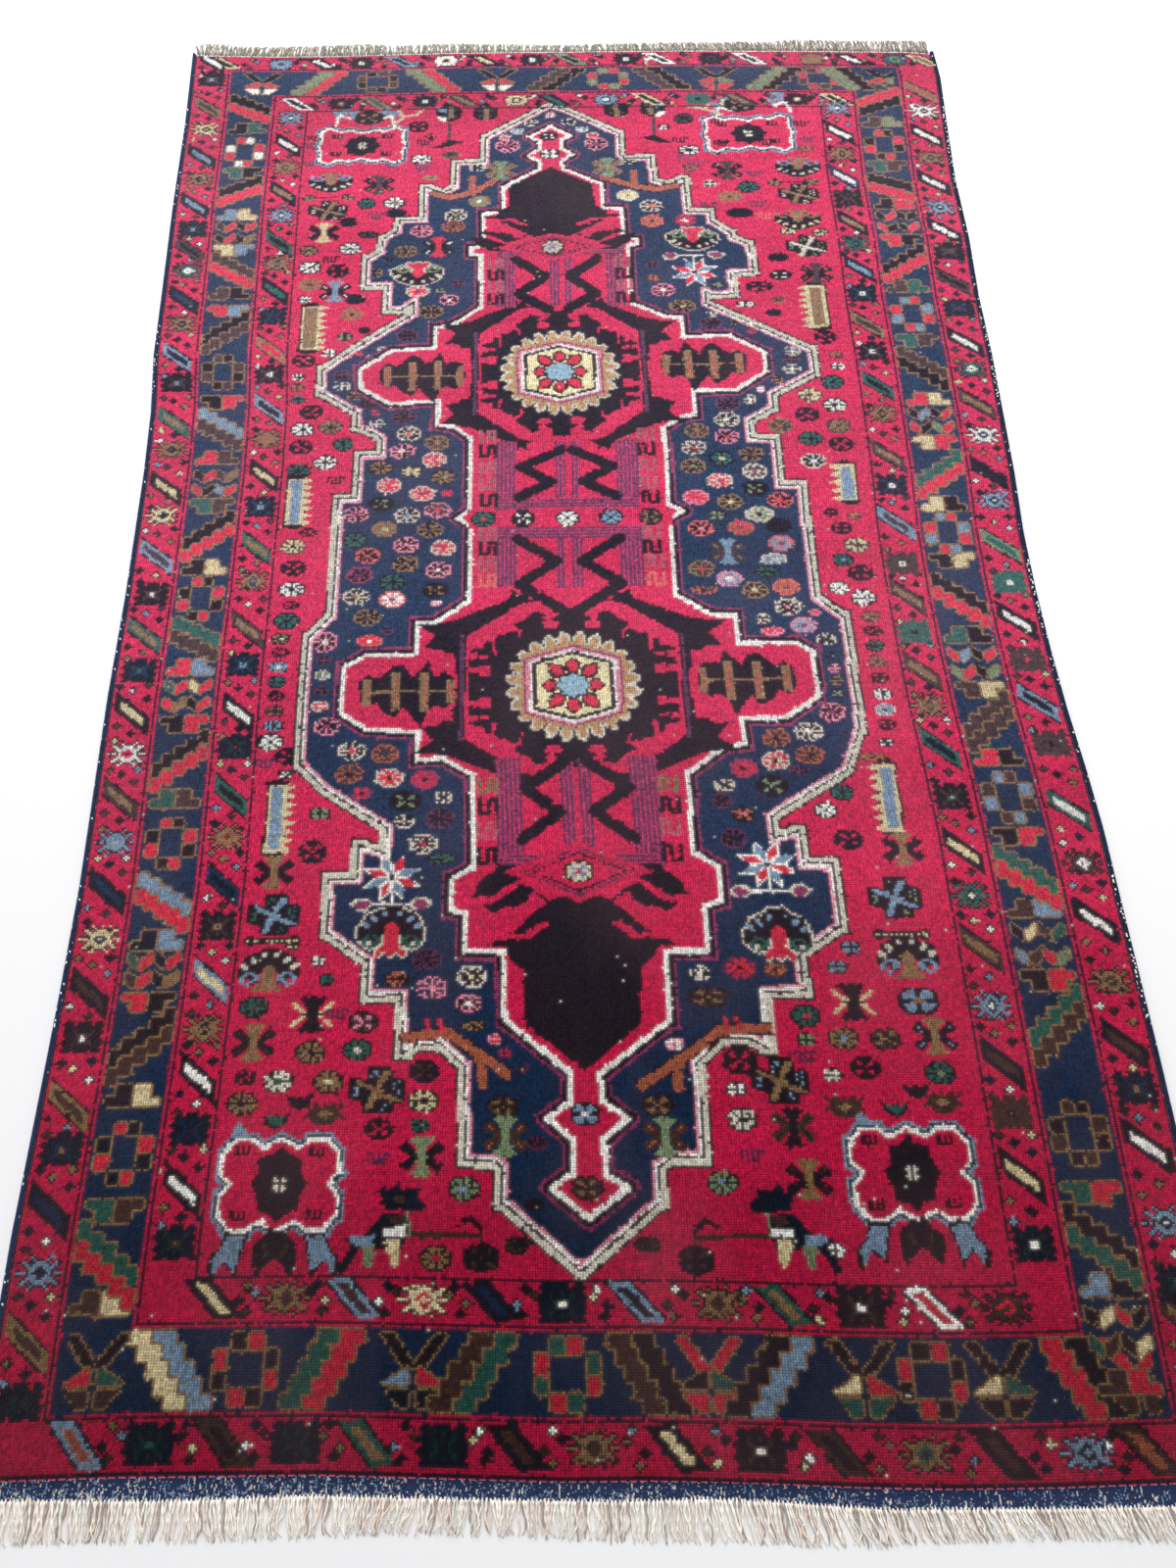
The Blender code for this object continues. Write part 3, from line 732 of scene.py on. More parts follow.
def side_column(band, side):
    """A side band's middle column, and how many knots wide the band is."""
    start, stop = SIDE_BANDS[band]
    middle = (start + stop) // 2
    return middle if side < 0 else COLUMNS - 1 - middle, stop - start


def end_row(band, end):
    """An end band's middle row, and how many knots wide the band is."""
    start, stop = (NEAR_BANDS if end < 0 else FAR_BANDS)[band]
    middle = (start + stop) // 2
    return middle if end < 0 else ROWS - 1 - middle, stop - start


def bar(u, v, wide, tall, letters, upright):
    """A slanting bar, falling to the right: black edge, ring and core. Its ends follow the band."""
    dark = "D" if letters[0] == "K" else "K"
    for grow, share, letter in ((4.5, 1.0, dark), (0.0, 1.0, letters[0]), (-6.5, 0.72, letters[1])):
        x, y = wide / 2 * share, tall / 2 * share
        if upright:
            thick = 10.5 + grow * 0.8
            outline = [(-x, y + thick), (x, -y + thick), (x, -y - thick), (-x, y - thick)]
        else:
            thick = 12.5 + grow
            outline = [(-x - thick, y), (-x + thick, y), (x + thick, -y), (x - thick, -y)]
        fill(placed(outline, u, v), letter)


def spot(row, column, kind, letters, size, upright=True, small=False):
    """One guard motif at a knot. The size is a bar's, and a flower on a side is a little wider."""
    u, v = knot_u[row, column], knot_v[row, column]
    if kind == "bar":
        bar(u, v, size[0], size[1], letters, upright)
    elif small:
        stamp(SMALL_CRAB if kind == "crab" else SMALL_STAR, u, v, letters)
    else:
        size = (size[0] * 1.06, 36) if upright else (54, 40)
        stamp(CRAB if kind == "crab" else STAR, u, v, letters, size=size)


DIAMOND_DYES = ["KC", "KK", "KL", "KB", "DK", "KY", "DD", "KW", "KB", "KK", "KC"]
# Small diamonds in a guard's gaps, after a bar and after a flower: how far across the band, to be
# multiplied by its count of knots, and how many millimetres along it
SIDE_GAPS = {
    "bar": [(-1.0, 9), (-0.15, 2), (1.0, 10), (0.85, -9)],
    "flower": [(-1.0, 10), (0.2, 0), (-0.95, -10)],
}
END_GAPS = {
    "bar": [(1.0, -2), (-0.2, -12), (0.5, 7), (-0.95, -4)],
    "flower": [(-1.0, 4), (0.4, -8), (-0.3, 8), (1.0, -3)],
}


def gap_spots(gaps, kind, turn):
    """The diamonds after a motif: across, along and dyes."""
    for i, (across, along) in enumerate(gaps["bar" if kind == "bar" else "flower"]):
        yield across, along, DIAMOND_DYES[(3 * turn + i) % len(DIAMOND_DYES)]


def guard_side(table, band, side):
    """Knot a guard's motifs along a long side."""
    column, breadth = side_column(band, side)
    middle_u = knot_u[ROWS // 2, column]
    for i, (v, kind, letters) in enumerate(table):
        spot(knot_at(middle_u, v)[0], column, kind, letters, (breadth * 2.55, 38))
        if i + 1 < len(table):
            middle = (v + table[i + 1][0]) / 2
            u = knot_u[knot_at(middle_u, middle)[0], column]
            for x, y, dyes in gap_spots(SIDE_GAPS, kind, i):
                stamp(DIAMOND, u + x * breadth, middle + y, dyes)


def guard_end(table, band, end):
    """Knot a guard's motifs along an end. At the far end the flowers are smaller."""
    row, breadth = end_row(band, end)
    middle_v = knot_v[row, COLUMNS // 2]
    for i, (u, kind, letters) in enumerate(table):
        column = knot_at(u, middle_v)[1]
        spot(row, column, kind, letters, (36, breadth * 2.35), upright=False, small=end > 0)
        if i + 1 < len(table):
            middle = (u + table[i + 1][0]) / 2
            v = knot_v[row, knot_at(middle, middle_v)[1]]
            rise = breadth * 0.8
            for y, x, dyes in gap_spots(END_GAPS, kind, i):
                stamp(DIAMOND, middle + x, v + y * rise, dyes)


def edged(part, mask, letter):
    """A block of one colour with a camel outline one knot wide around it."""
    wider = mask.copy()
    wider[1:] |= mask[:-1]
    wider[:-1] |= mask[1:]
    wider[:, 1:] |= mask[:, :-1]
    wider[:, :-1] |= mask[:, 1:]
    dye(part, wider & ~mask, "C")
    dye(part, mask, letter)


LEAF_SLOPE = 0.66           # a leaf's slant, as a share of the charted one
END_OVERRUN = 22            # knots by which the end bands run on into the corners


class Band:
    """The main border's own knots on one side: how far across it, 0 to 1, and along it."""

    def __init__(self, side=0, end=0):
        self.upright = side != 0
        if self.upright:
            start, stop = SIDE_BANDS["main"]
            self.count = stop - start
            first = start if side < 0 else COLUMNS - stop
            near, far = NEAR_BANDS["main"][0], ROWS - FAR_BANDS["main"][0]
            self.part = (slice(near, far), slice(first, first + self.count))
            self.along = knot_v[self.part]
            self.across = np.broadcast_to(np.arange(self.count)[None, :], self.along.shape)
        else:
            start, stop = (NEAR_BANDS if end < 0 else FAR_BANDS)["main"]
            self.count = stop - start
            first = start if end < 0 else ROWS - stop
            inner = SIDE_BANDS["main"][1]
            start, stop = inner - END_OVERRUN, COLUMNS - inner + END_OVERRUN
            self.part = (slice(first, first + self.count), slice(start, stop))
            self.along = knot_u[self.part]
            self.across = np.broadcast_to(np.arange(self.count)[:, None], self.along.shape)
        self.share = (self.across + 0.5) / self.count

    def block(self, share0, share1, along0, along1, letter):
        """A box, in shares across and millimetres along."""
        mask = (self.share > share0) & (self.share < share1)
        edged(self.part, mask & (self.along > along0) & (self.along < along1), letter)

    def leaf(self, first, last, letters):
        """A two-coloured band of stairs from one edge of the border to the other."""
        steps = 5
        thick = 20.0 if self.upright else 24.0
        step = np.floor(self.share * steps)
        middle = (first + last) / 2 + (last - first) * LEAF_SLOPE * (step / (steps - 1) - 0.5)
        inner = (self.share > 0.03) & (self.share < 0.97)
        offset = self.along - middle
        upper, lower = (0, 1) if self.upright else (1, 0)
        edged(self.part, inner & (offset > 1.5) & (offset < thick), letters[upper])
        edged(self.part, inner & (offset < -1.5) & (offset > -thick), letters[lower])

    def tee(self, at, letters, way):
        """Two stepped bars back to back, feet outward."""
        foot, top = sorted((at - way * 9, at)), sorted((at - way * 9, at + way * 13))
        for share0, share1, letter in ((0.06, 0.48, letters[0]), (0.52, 0.94, letters[1])):
            stem0, stem1 = (share1 - 0.24, share1) if share1 < 0.5 else (share0, share0 + 0.24)
            mask = (self.share > share0) & (self.share < share1)
            mask &= (self.along > foot[0]) & (self.along < foot[1])
            stem = (self.share > stem0) & (self.share < stem1)
            mask |= stem & (self.along > top[0]) & (self.along < top[1])
            edged(self.part, mask, letter)

    def checker(self, at, letters):
        """A navy square with a pair of small blocks on each of its sides."""
        a, b = letters
        w, t = (0.2, 18.0) if self.upright else (0.22, 18.0)
        self.block(0.5 - w, 0.49, at + 20, at + 33, a)
        self.block(0.51, 0.5 + w, at + 20, at + 33, b)
        self.block(0.5 - w, 0.49, at - 33, at - 20, b)
        self.block(0.51, 0.5 + w, at - 33, at - 20, a)
        self.block(0.5 - w, 0.5 + w, at - t, at + t, "N")
        for share0, share1, top, low in ((0.08, 0.48 - w, b, a), (0.52 + w, 0.92, a, b)):
            self.block(share0, share1, at + 1.5, at + 17, top)
            self.block(share0, share1, at - 17, at - 1.5, low)

    def flags(self, at, letters):
        """A row of small slanting blocks."""
        for i, letter in enumerate(letters):
            share0 = 0.07 + 0.22 * i
            lean = 5.0 * (self.share - share0 - 0.1) / 0.1 * (1 if i % 2 else -1)
            mask = (self.share > share0) & (self.share < share0 + 0.18)
            edged(self.part, mask & (np.abs(self.along - at - lean) < 6.5), letter)

    def figure(self, at, letters):
        """Crossed arms over two triangles and a stepped foot, point inward."""
        x, s = self.along - at, self.share
        arm = np.abs(np.abs(x) - (s - 0.42) * 62.0 + 3.0) < 6.5
        edged(self.part, arm & (s > 0.52) & (s < 0.93) & (np.abs(x) < 34), letters[0])
        for way, letter in ((-1, letters[1]), (1, letters[2])):
            side = x * way
            triangle = (side > 4) & (side < 4 + (0.56 - s) * 130) & (s > 0.34) & (s < 0.54)
            edged(self.part, triangle, letter)
            foot = (side > 4) & (side < 31 - (0.3 - s) * 70) & (s > 0.06) & (s < 0.27)
            edged(self.part, foot, letters[3])

    def weave(self, table):
        """Knot a table's motifs, each by the method of its name."""
        for kind, at, *rest in table:
            getattr(self, kind)(at, *rest)


def knot_borders():
    """Everything outside the field."""
    rule_bands()
    Band(end=-1).weave(NEAR_MAIN)
    Band(end=1).weave(FAR_MAIN)
    Band(side=-1).weave(LEFT_MAIN)
    Band(side=1).weave(RIGHT_MAIN)
    for end, outer, inner in ((-1, NEAR_GUARD, NEAR_INNER), (1, FAR_GUARD, FAR_INNER)):
        guard_end(outer, "guard", end)
        guard_end(inner, "inner", end)
    for side, outer, inner in ((-1, LEFT_GUARD, LEFT_INNER), (1, RIGHT_GUARD, RIGHT_INNER)):
        guard_side(outer, "guard", side)
        guard_side(inner, "inner", side)


# One petal of a star: reach, and turn in radians
STAR_PETAL = ((0.12, 0.0), (0.58, -0.30), (0.98, 0.0), (0.58, 0.30))
STAR_WIDE, STAR_TALL = 72, 58


def star(u, v):
    """An eight-pointed star: white, with petals light blue and red by turns."""
    def at(reach, turn):
        return u + STAR_WIDE / 2 * reach * math.cos(turn), v + STAR_TALL / 2 * reach * math.sin(turn)

    points = 16
    fill([at(1.12 * (0.52 if i % 2 else 1.0), 2 * math.pi * (i + 1) / points) for i in range(points)], "W")
    for i in range(8):
        middle = 2 * math.pi * (i + 0.5) / 8
        fill([at(reach, middle + swing) for reach, swing in STAR_PETAL], "LE"[i % 2])
    fill(box(u - 4, v - 3, u + 4, v + 3), "K")


FISH_TAIL = [(-14, 12), (4, 14), (10, 2), (20, -12), (16, -26), (6, -10), (-6, -22), (-10, -4)]
BELL = [(-8, 18), (8, 18), (24, 4), (24, -12), (20, -28), (8, -16), (0, -8), (-8, -16), (-20, -28),
        (-24, -12), (-24, 4)]

# One quarter of a cartouche's lobed outline, from its upper notch to its side notch
LOBES = [(0, 48), (20, 38), (34, 47), (52, 47), (65, 32), (66, 12), (55, 0)]
FAR_LOBES = [(0, 30), (20, 37), (38, 33), (56, 42), (70, 34), (68, 16), (73, 0)]
CHEVRON = [(-13, 6), (-5, 1), (0, 4), (5, 1), (13, 6), (9, -4), (0, -9), (-9, -4)]


def chevron(u, v, letter):
    """A small dark-edged chevron, point down."""
    for grow, dye_letter in ((1.3, "K"), (0.9, letter)):
        fill(placed(CHEVRON, u, v, grow, grow), dye_letter)


def cartouche(u, v, lobes):
    """A lobed frame around a dark flower, with a small comb in each corner."""
    right = lobes + [(x, -y) for x, y in lobes[-2::-1]]
    outline = placed(right, u, v) + placed(right[-2:0:-1], u, v, across=-1)
    lined(outline, [(-2.0, 2.0, "W"), (2.0, 4.5, "D"), (4.5, 7.5, "L")])
    deep = lobes[0][1] * 0.8
    fill(placed(EIGHT_POINTS, u, v, 30, deep), "K")
    flower(u, v, "KAB", 20, 18, petals=4)
    for x in (-42, 42):
        for y in (-0.7, 0.7):
            stamp(COMB_SMALL, u + x, v + y * lobes[0][1], "K")


def near_feet(u, v):
    """The two light tails and the dark bell under a near cartouche, and the leaves over it."""
    for side in (-1, 1):
        for grow, letter in ((1.25, "K"), (1.0, "L")):
            fill([(u + side * (48 + x * grow), v + y * grow - 66) for x, y in FISH_TAIL], letter)
    fill(placed(BELL, u, v - 66), "K")
    for side in (-1, 1):
        line([(u + side * 8, v - 72), (u + side * 12, v - 62)], 5, "B")
    fill([(u - 58, v + 50), (u - 34, v + 50), (u - 52, v + 68)], "L")
    stamp(LEAF, u + 46, v + 74, "BC")
    chevron(u - 9, v + 69, "G")
    chevron(u + 17, v + 89, "K")


EIGHT_POINTS = [
    (math.cos(math.pi * i / 8) * (1.06 if i % 2 == 0 else 0.86),
     math.sin(math.pi * i / 8) * (1.06 if i % 2 == 0 else 0.86)) for i in range(16)
]
COMB_SMALL = "aa.a.a aa.a.a aa.a.a aaaaaa"


def tablet(u, v, wide, tall, letter, way):
    """A tall panel with a cream frame and a row of teeth down one side."""
    x0, x1, y0, y1 = u - wide / 2, u + wide / 2, v - tall / 2, v + tall / 2
    for grow, dye_letter in ((7, "K"), (4, "Y"), (0, letter)):
        fill(box(x0 - grow, y0 - grow, x1 + grow, y1 + grow), dye_letter)
    edge = x1 + 4 if way > 0 else x0 - 4
    teeth = int(tall // 12)
    for i in range(teeth + 1):
        y = y0 + tall * i / teeth
        fill([(edge, y - 5.5), (edge + way * 13, y), (edge, y + 5.5)], "Y")
    for y in (y0 - 9, y1 + 9):
        line([(x0 + 2, y), (x1 - 2, y)], 5, "K")


def palmette(u, v, letters, way, size):
    """A domed flower on its foot, open downward, or upward where way is -1."""
    stamp(DOME, u, v, letters, along=way, size=size)


def cross_flower(u, v, letters):
    """A dark cross with four bright blades, flatter toward the far end."""
    stamp(CROSS, u, v, letters, size=(67, 52) if v < 0 else (67, 44))


# The leaf over a perched bird, then its body, collar, breast, wing, leg and tail
BIRD = [
    ([(-28, 51), (-22, 45), (-13, 53), (-8, 45), (9, 48), (9, 39), (19, 31), (16, 22), (-26, 24),
      (-31, 39)], "D"),
    ([(-68, -4), (-48, 0), (-28, 22), (-4, 20), (0, 4), (-6, -14), (-62, -14)], "D"),
    ([(-22, 20), (-4, 20), (-4, 10), (-22, 10)], "B"),
    ([(-28, 6), (-2, 8), (-4, -2), (-26, -2)], "W"),
    ([(-64, -2), (-36, 0), (-40, -12), (-60, -12)], "L"),
    ([(-28, -6), (-8, -4), (-10, -30), (-16, -34), (-20, -22)], "Y"),
    ([(-50, -12), (-34, -10), (-40, -32), (-46, -34)], "S"),
]


def bird_plant(u, v, way):
    """A stem with a dark bud at one end and a perched bird at the other; mirrored by way."""
    line([(u, v), (u + way * 80, v - 2)], 5, "B")
    line([(u + way * 80, v - 4), (u + way * 80, v - 34)], 4, "B")
    line([(u + way * 54, v + 8), (u + way * 68, v + 16), (u + way * 80, v + 4)], 5, "K")
    flower(u + way * 80, v - 24, "KKB", 40, 30, petals=6)
    line([(u, v), (u, v + 24), (u - way * 22, v + 42)], 4, "S")
    for points, letter in BIRD:
        fill(placed(points, u, v, way), letter)
    line([(u - way * 58, v - 14), (u - way * 70, v - 34)], 9, "D")


def far_bird(u, v, way):
    """The far end's flowers: a dark bud and a light-winged one on a bent stem."""
    flower(u + way * 62, v + 4, "KKB", 46, 34, petals=4)
    line([(u + way * 62, v + 16), (u + way * 62, v - 10)], 9, "C")
    flower(u, v + 6, "KKB", 44, 40, petals=6)
    line([(u + way * 4, v + 18), (u + way * 4, v - 4)], 9, "C")
    for y, letter in ((14, "L"), (-8, "W")):
        fill(placed([(-22, 8), (-4, 2), (-4, -8), (-16, -4)], u, v + y, way), letter)
    line([(u, v - 20), (u + way * 2, v - 62)], 6, "B")
    fill(placed([(-30, -78), (2, -58), (26, -64), (-6, -76)], u, v, way), "K")


def antlers(u, v, way):
    """Light branching horns over a far cartouche's corner."""
    for x, y, wide in ((0, 14, 12), (12, 28, 12), (24, 16, 10)):
        fill(placed([(x - wide, 12), (x + wide, 12), (x, -14)], u, v + y, way), "L")
    line([(u - way * 4, v - 10), (u + way * 2, v + 16), (u + way * 20, v + 8)], 5, "W")


def knot_field():
    """Everything on the crimson field around the medallion."""
    for row in FIELD_FLOWERS:
        flower(*row)
    for u, v, letters in FIELD_BUTTERFLIES:
        stamp(BUTTERFLY, u, v, letters)
    for u, v, letter in FIELD_MARKS:
        stamp(MARK, u, v, letter)
    for u, v in ((-355, -806), (346, -800)):
        cartouche(u, v, LOBES)
        near_feet(u, v)
    for u, v in ((-339, 818), (309, 829)):
        cartouche(u, v, FAR_LOBES)
    for u, v, way in ((-382, 876, 1), (-290, 872, -1), (262, 878, 1), (380, 888, -1)):
        antlers(u, v, way)
    for u, v, wide, tall, letter, way in (
        (-392, -376, 15, 84, "L", 1), (-401, 103, 16, 72, "L", 1), (-401, 424, 20, 80, "C", 1),
        (381, -358, 15, 82, "L", -1), (387, 121, 16, 54, "L", -1), (381, 449, 20, 76, "C", -1),
    ):
        tablet(u, v, wide, tall, letter, way)
    for u, v, letters, way in (
        (-385, -570, "KACL", 1), (376, -562, "KACL", 1), (-388, 732, "KACL", -1), (383, 749, "KACL", -1),
        (371, 630, "KYCC", -1),
    ):
        palmette(u, v, letters, way, (74, 52) if way > 0 else (74, 44))
    for u, v, letters in (
        (-384, -501, ".LG"), (372, -488, ".LS"), (-387, 670, ".CA"), (378, 689, ".CA"), (379, 573, ".AS"),
        (-249, -707, ".CL"), (211, -702, ".CL"),
    ):
        cross_flower(u, v, letters)
    for u, v, letters in (
        (-396, -651, "CKB"), (-389, -447, "CKK"), (393, -653, "CKL"), (388, -425, "CKK"),
        (386, 517, "BKC"), (-391, 621, "YKK"),
    ):
        stamp(BUTTERFLY, u, v, letters)
    for middle, v, reach in ((-388, 699, 32), (371, 714, 30)):
        line([(middle - reach, v), (middle + reach, v)], 3, "K")
        for side in (-1, 1):
            flower(middle + side * reach, v, "KCB", 24, 14, petals=4)
    bird_plant(-210, -858, 1)
    bird_plant(182, -862, -1)
    far_bird(-194, 886, 1)
    far_bird(152, 888, -1)
    stamp(LEAF, -220, -822, "DB")
    stamp(LEAF, 280, -730, "BC")
    for u, v, letters in MOTHS:
        stamp(MOTH, u, v, letters)
    for u in (-384, 371):
        stamp(BEADS, u, -533, ".Y")
    for points in (
        [(-294, 864), (-268, 886), (-248, 890), (-240, 902)], [(-272, 886), (-280, 900)],
        [(266, 876), (240, 890), (212, 896)], [(240, 890), (248, 902)],
    ):
        line(points, 5, "Y")
    flower(300, 898, "KKC", 54, 34, petals=6)
    flower(-330, 884, "KKC", 50, 34, petals=6)


# The dark hooked wreath around each hub: one quarter, from the hub's centre outward
HUB_CORE = [
    (0, 0), (139, 0), (137, 54), (130, 57), (119, 58), (116, 68), (108, 68), (107, 54), (102, 49),
    (104, 70), (101, 76), (90, 76), (83, 83), (73, 81), (68, 66), (68, 82), (77, 89), (77, 94), (62, 101),
    (50, 113), (32, 107), (40, 103), (32, 97), (39, 96), (37, 86), (20, 86), (16, 94), (30, 99),
    (16, 107), (15, 118), (0, 118),
]
HUB_ARM = [
    (146, 7), (157, 22), (158, 49), (173, 49), (178, 56), (200, 58), (184, 77), (209, 94), (182, 96),
    (157, 101), (125, 116), (102, 124), (86, 132), (79, 146), (70, 138), (58, 146), (58, 132), (46, 128),
    (69, 124), (105, 100), (144, 74), (148, 54),
]
# Small red openings in the wreath: across, along, width and height
HUB_WINDOWS = [(110, 16, 13, 15), (125, 20, 13, 9), (112, 42, 12, 5), (127, 41, 12, 9)]


def quarters(points, u, v):
    """An outline in each of the four quarters around a place."""
    for across in (-1, 1):
        for along in (-1, 1):
            yield placed(points, u, v, across, along)


def hexagon(u, v, wide, tall):
    """Pointed at top and bottom, with upright sides half as tall as the whole."""
    return [(u, v + tall), (u + wide, v + tall * 0.68), (u + wide, v - tall * 0.68), (u, v - tall),
            (u - wide, v - tall * 0.68), (u - wide, v + tall * 0.68)]


def hub(u, v, wide):
    """A hooked dark wreath, a camel sunburst and an eight-petalled star flower."""
    for shape in (HUB_CORE, HUB_ARM):
        for points in quarters([(x * wide, y) for x, y in shape], u, v):
            fill(points, "K")
    for x, y, across, tall in HUB_WINDOWS:
        for points in quarters(box(x * wide, y, x * wide + across, y + tall), u, v):
            fill(points, "R")
    for side in (-1, 1):
        for thick, letter in ((10, "K"), (5, "V")):
            line([(u + side * 148 * wide, v + 76), (u + side * 148 * wide, v - 76)], thick, letter)
    around = 24
    for letter, reach, foot in (("A", 1.0, 8.8), ("c", 0.66, 5.6)):
        for i in range(around):
            turn = 2 * math.pi * (i + 0.5) / around
            c, s = math.cos(turn), math.sin(turn)
            leaf = [(-16, -foot), (4 * reach, -foot), (13 * reach, -foot * 0.4), (13 * reach, foot * 0.4),
                    (4 * reach, foot), (-16, foot)]
            x, y = u + 77 * c, v + 68 * s
            fill([(x + p * c - q * s, y + p * s + q * c) for p, q in leaf], letter)
    fill(hexagon(u, v, 70, 66), "c")
    for across, tall, letter in ((65, 60, "M"), (62, 57, "P"), (58, 54, "W"), (54, 51, "K"), (49, 46, "y")):
        fill(hexagon(u, v, across, tall), letter)
    for i in range(8):
        turn = math.pi * i / 4
        c, s = math.cos(turn), math.sin(turn)
        tip = 39 if i % 2 == 0 else 45
        for letter, grow in (("K", 4.2), ("E", 0.0)):
            petal = [(15 - grow, 0), (25, 5.5 + grow), (33, 7.5 + grow), (tip + grow, 0),
                     (33, -7.5 - grow), (25, -5.5 - grow)]
            fill([(u + a * c - b * s, v + (a * s + b * c) * 0.98) for a, b in petal], letter)
    fill(placed(EIGHT_POINTS, u, v, 25, 20), "K")
    fill(placed(EIGHT_POINTS, u, v, 22, 17), "l")


PENDANT = [
    (-68, 14), (-66, -14), (-56, -22), (-44, -16), (-34, -30), (-18, -38), (-8, -22), (4, -38), (16, -52),
    (24, -28), (34, -20), (46, -26), (58, -14), (62, 0), (58, 22), (44, 28), (32, 22), (24, 46), (12, 30),
    (2, 22), (-8, 38), (-22, 40), (-34, 26), (-44, 20), (-56, 26),
]


def pendant(u, v, way):
    """The dark lobed fruit at a medallion's side, with a rod and four camel bars."""
    fill(placed(PENDANT, u, v, way), "K")
    line([(u - way * 58, v), (u + way * 52, v)], 3, "C")
    for x, tall in ((-56, 38), (-18, 54), (20, 56), (54, 34)):
        line([(u + way * x, v - tall / 2 + 5), (u + way * x, v + tall / 2 - 5)], 11, "C")
        line([(u + way * x, v - tall / 2 + 8), (u + way * x, v + tall / 2 - 8)], 4, "T")


def fine_lines(u0, v0, u1, v1, upright):
    """Violet lines one knot wide on the crimson."""
    part = window(u0, v0, u1, v1, 0)
    rows, columns = np.indices(knots[part].shape)
    lit = (columns if upright else rows) % 2 == 0
    dye(part, lit, "V")
    dye(part, ~lit, "m")


def panel(v0, v1, foot):
    """The striped frame and zigzags between a hub and a strip; foot is where its sill lies."""
    low, high = min(v0, v1), max(v0, v1)
    fine_lines(-111, low, -86, high, True)
    fine_lines(60, low, 88, high, True)
    for u in (-22, 0):
        fine_lines(u - 5, low, u + 4, high, True)
    sill = (foot, foot + 16) if foot < (v0 + v1) / 2 else (foot - 16, foot)
    fine_lines(-111, sill[0], 88, sill[1], False)


def zigzag(places, middle, thick):
    """A dark zigzag and its mirror image."""
    for side in (-1, 1):
        line([(middle + side * x, v) for x, v in places], thick, "K")


# One side of the dark vase, from its mouth down to its point, and its two leaves
VASE = [
    (0, -33), (29, -32), (44, -42), (59, -54), (68, -62), (77, -71), (87, -77), (68, -78), (62, -72),
    (53, -66), (44, -62), (37, -65), (44, -70), (56, -78), (61, -84), (80, -83), (104, -85), (114, -93),
    (90, -94), (87, -106), (70, -121), (68, -184), (0, -238),
]
LEAVES = [
    [(99, 9), (69, 9), (69, -8), (88, -17), (103, -28), (112, -33), (121, -29), (124, -32), (133, -32),
     (127, -24), (127, -18), (122, -11), (106, 1)],
    [(73, -14), (60, -20), (55, -25), (62, -30), (63, -36), (74, -42), (82, -47), (86, -43), (99, -48),
     (105, -52), (112, -47), (121, -39), (111, -40), (100, -37), (90, -29), (82, -23)],
]


def vase(u, v, scale):
    """A dark vase under a lens-shaped flower, with leaf sprays; scale below 0 turns it round."""
    for side in (-1, 1):
        for points in [VASE] + LEAVES:
            fill(placed(points, u, v, side, scale), "K")
        line([(u + side * 58, v - 22 * scale), (u + side * 38, v - 38 * scale)], 3, "K")
    for wide, tall, letter in ((92, 40, "R"), (70, 32, "V"), (66, 29, "R"), (60, 26, "D"), (56, 23, "R")):
        lens = [(-wide, 0), (0, tall), (wide, 0), (0, -tall)]
        fill(placed(lens, u, v, 1, abs(scale)), letter)
    flower(u, v, "KYG", 38, 30)
    flower(u, v, "WLE", 26, 20, petals=4)


# Columns of small square hooks beside the panels: along, dye
HOOK_COLUMNS = [
    (-428, "K"), (-394, "r"), (-365, "K"), (-336, "C"), (-34, "O"), (-6, "r"), (18, "K"), (42, "r"),
    (101, "K"), (128, "r"), (156, "r"), (186, "K"), (212, "r"), (475, "K"), (500, "r"), (525, "K"),
    (548, "r"),
]


def knot_centre():
    """Everything on the crimson heart: hubs, panels, zigzags, pendants, vases and hooks."""
    hub(-12, -195, 1.0)
    hub(-18, 330, 0.86)
    for v0, v1, foot in ((-300, -445, -445), (-44, 52, 52), (83, 200, 83), (460, 585, 585)):
        panel(v0, v1, foot)
    zigzag([(72, 34), (18, -3), (70, -40), (10, -82)], -12, 16)
    zigzag([(8, 186), (66, 156), (22, 130), (70, 104)], -12, 16)
    zigzag([(12, -302), (66, -340), (22, -372), (70, -408)], -12, 16)
    zigzag([(14, 452), (60, 484), (20, 520), (64, 556)], -18, 18)
    fill(box(-154, 53, 134, 83), "R")
    for at, letters in ((-132, "KGE"), (-76, "KKW"), (-13, "KWK"), (48, "KLK"), (104, "KBC")):
        flower(at, 68, letters, 34, 28)
    for at, v, way in ((-228, -201, 1), (214, -190, -1), (-222, 326, 1), (196, 340, -1)):
        pendant(at, v, way)
    vase(-12, -450, 1.0)
    vase(-24, 582, -0.745)
    for v, letter in HOOK_COLUMNS:
        middle, out = (-14, 100) if v > 440 else (-10, 115)
        for side in (-1, 1):
            stamp(MEANDER, middle + side * out, v, letter, across=side)
    flower(-13, -735, "KLW", 34, 26, petals=4)
    flower(-14, -812, "KBC", 36, 26)
    flower(-25, 790, "KWL", 36, 24, petals=4)
    flower(-25, 832, "KKW", 30, 22)


TREES = [
    # along and across places of a bough, then those of its fork
    ([(-220, -648), (-170, -643), (-141, -662), (-103, -690)], [(-133, -668), (-129, -702)]),
    ([(201, -642), (146, -643), (116, -665), (52, -704)], [(97, -676), (93, -706)]),
    ([(-216, 704), (-190, 694), (-150, 706), (-114, 732)], [(-152, 704), (-152, 738)]),
    ([(182, 712), (150, 704), (112, 712), (62, 734)], [(112, 712), (112, 744)]),
]


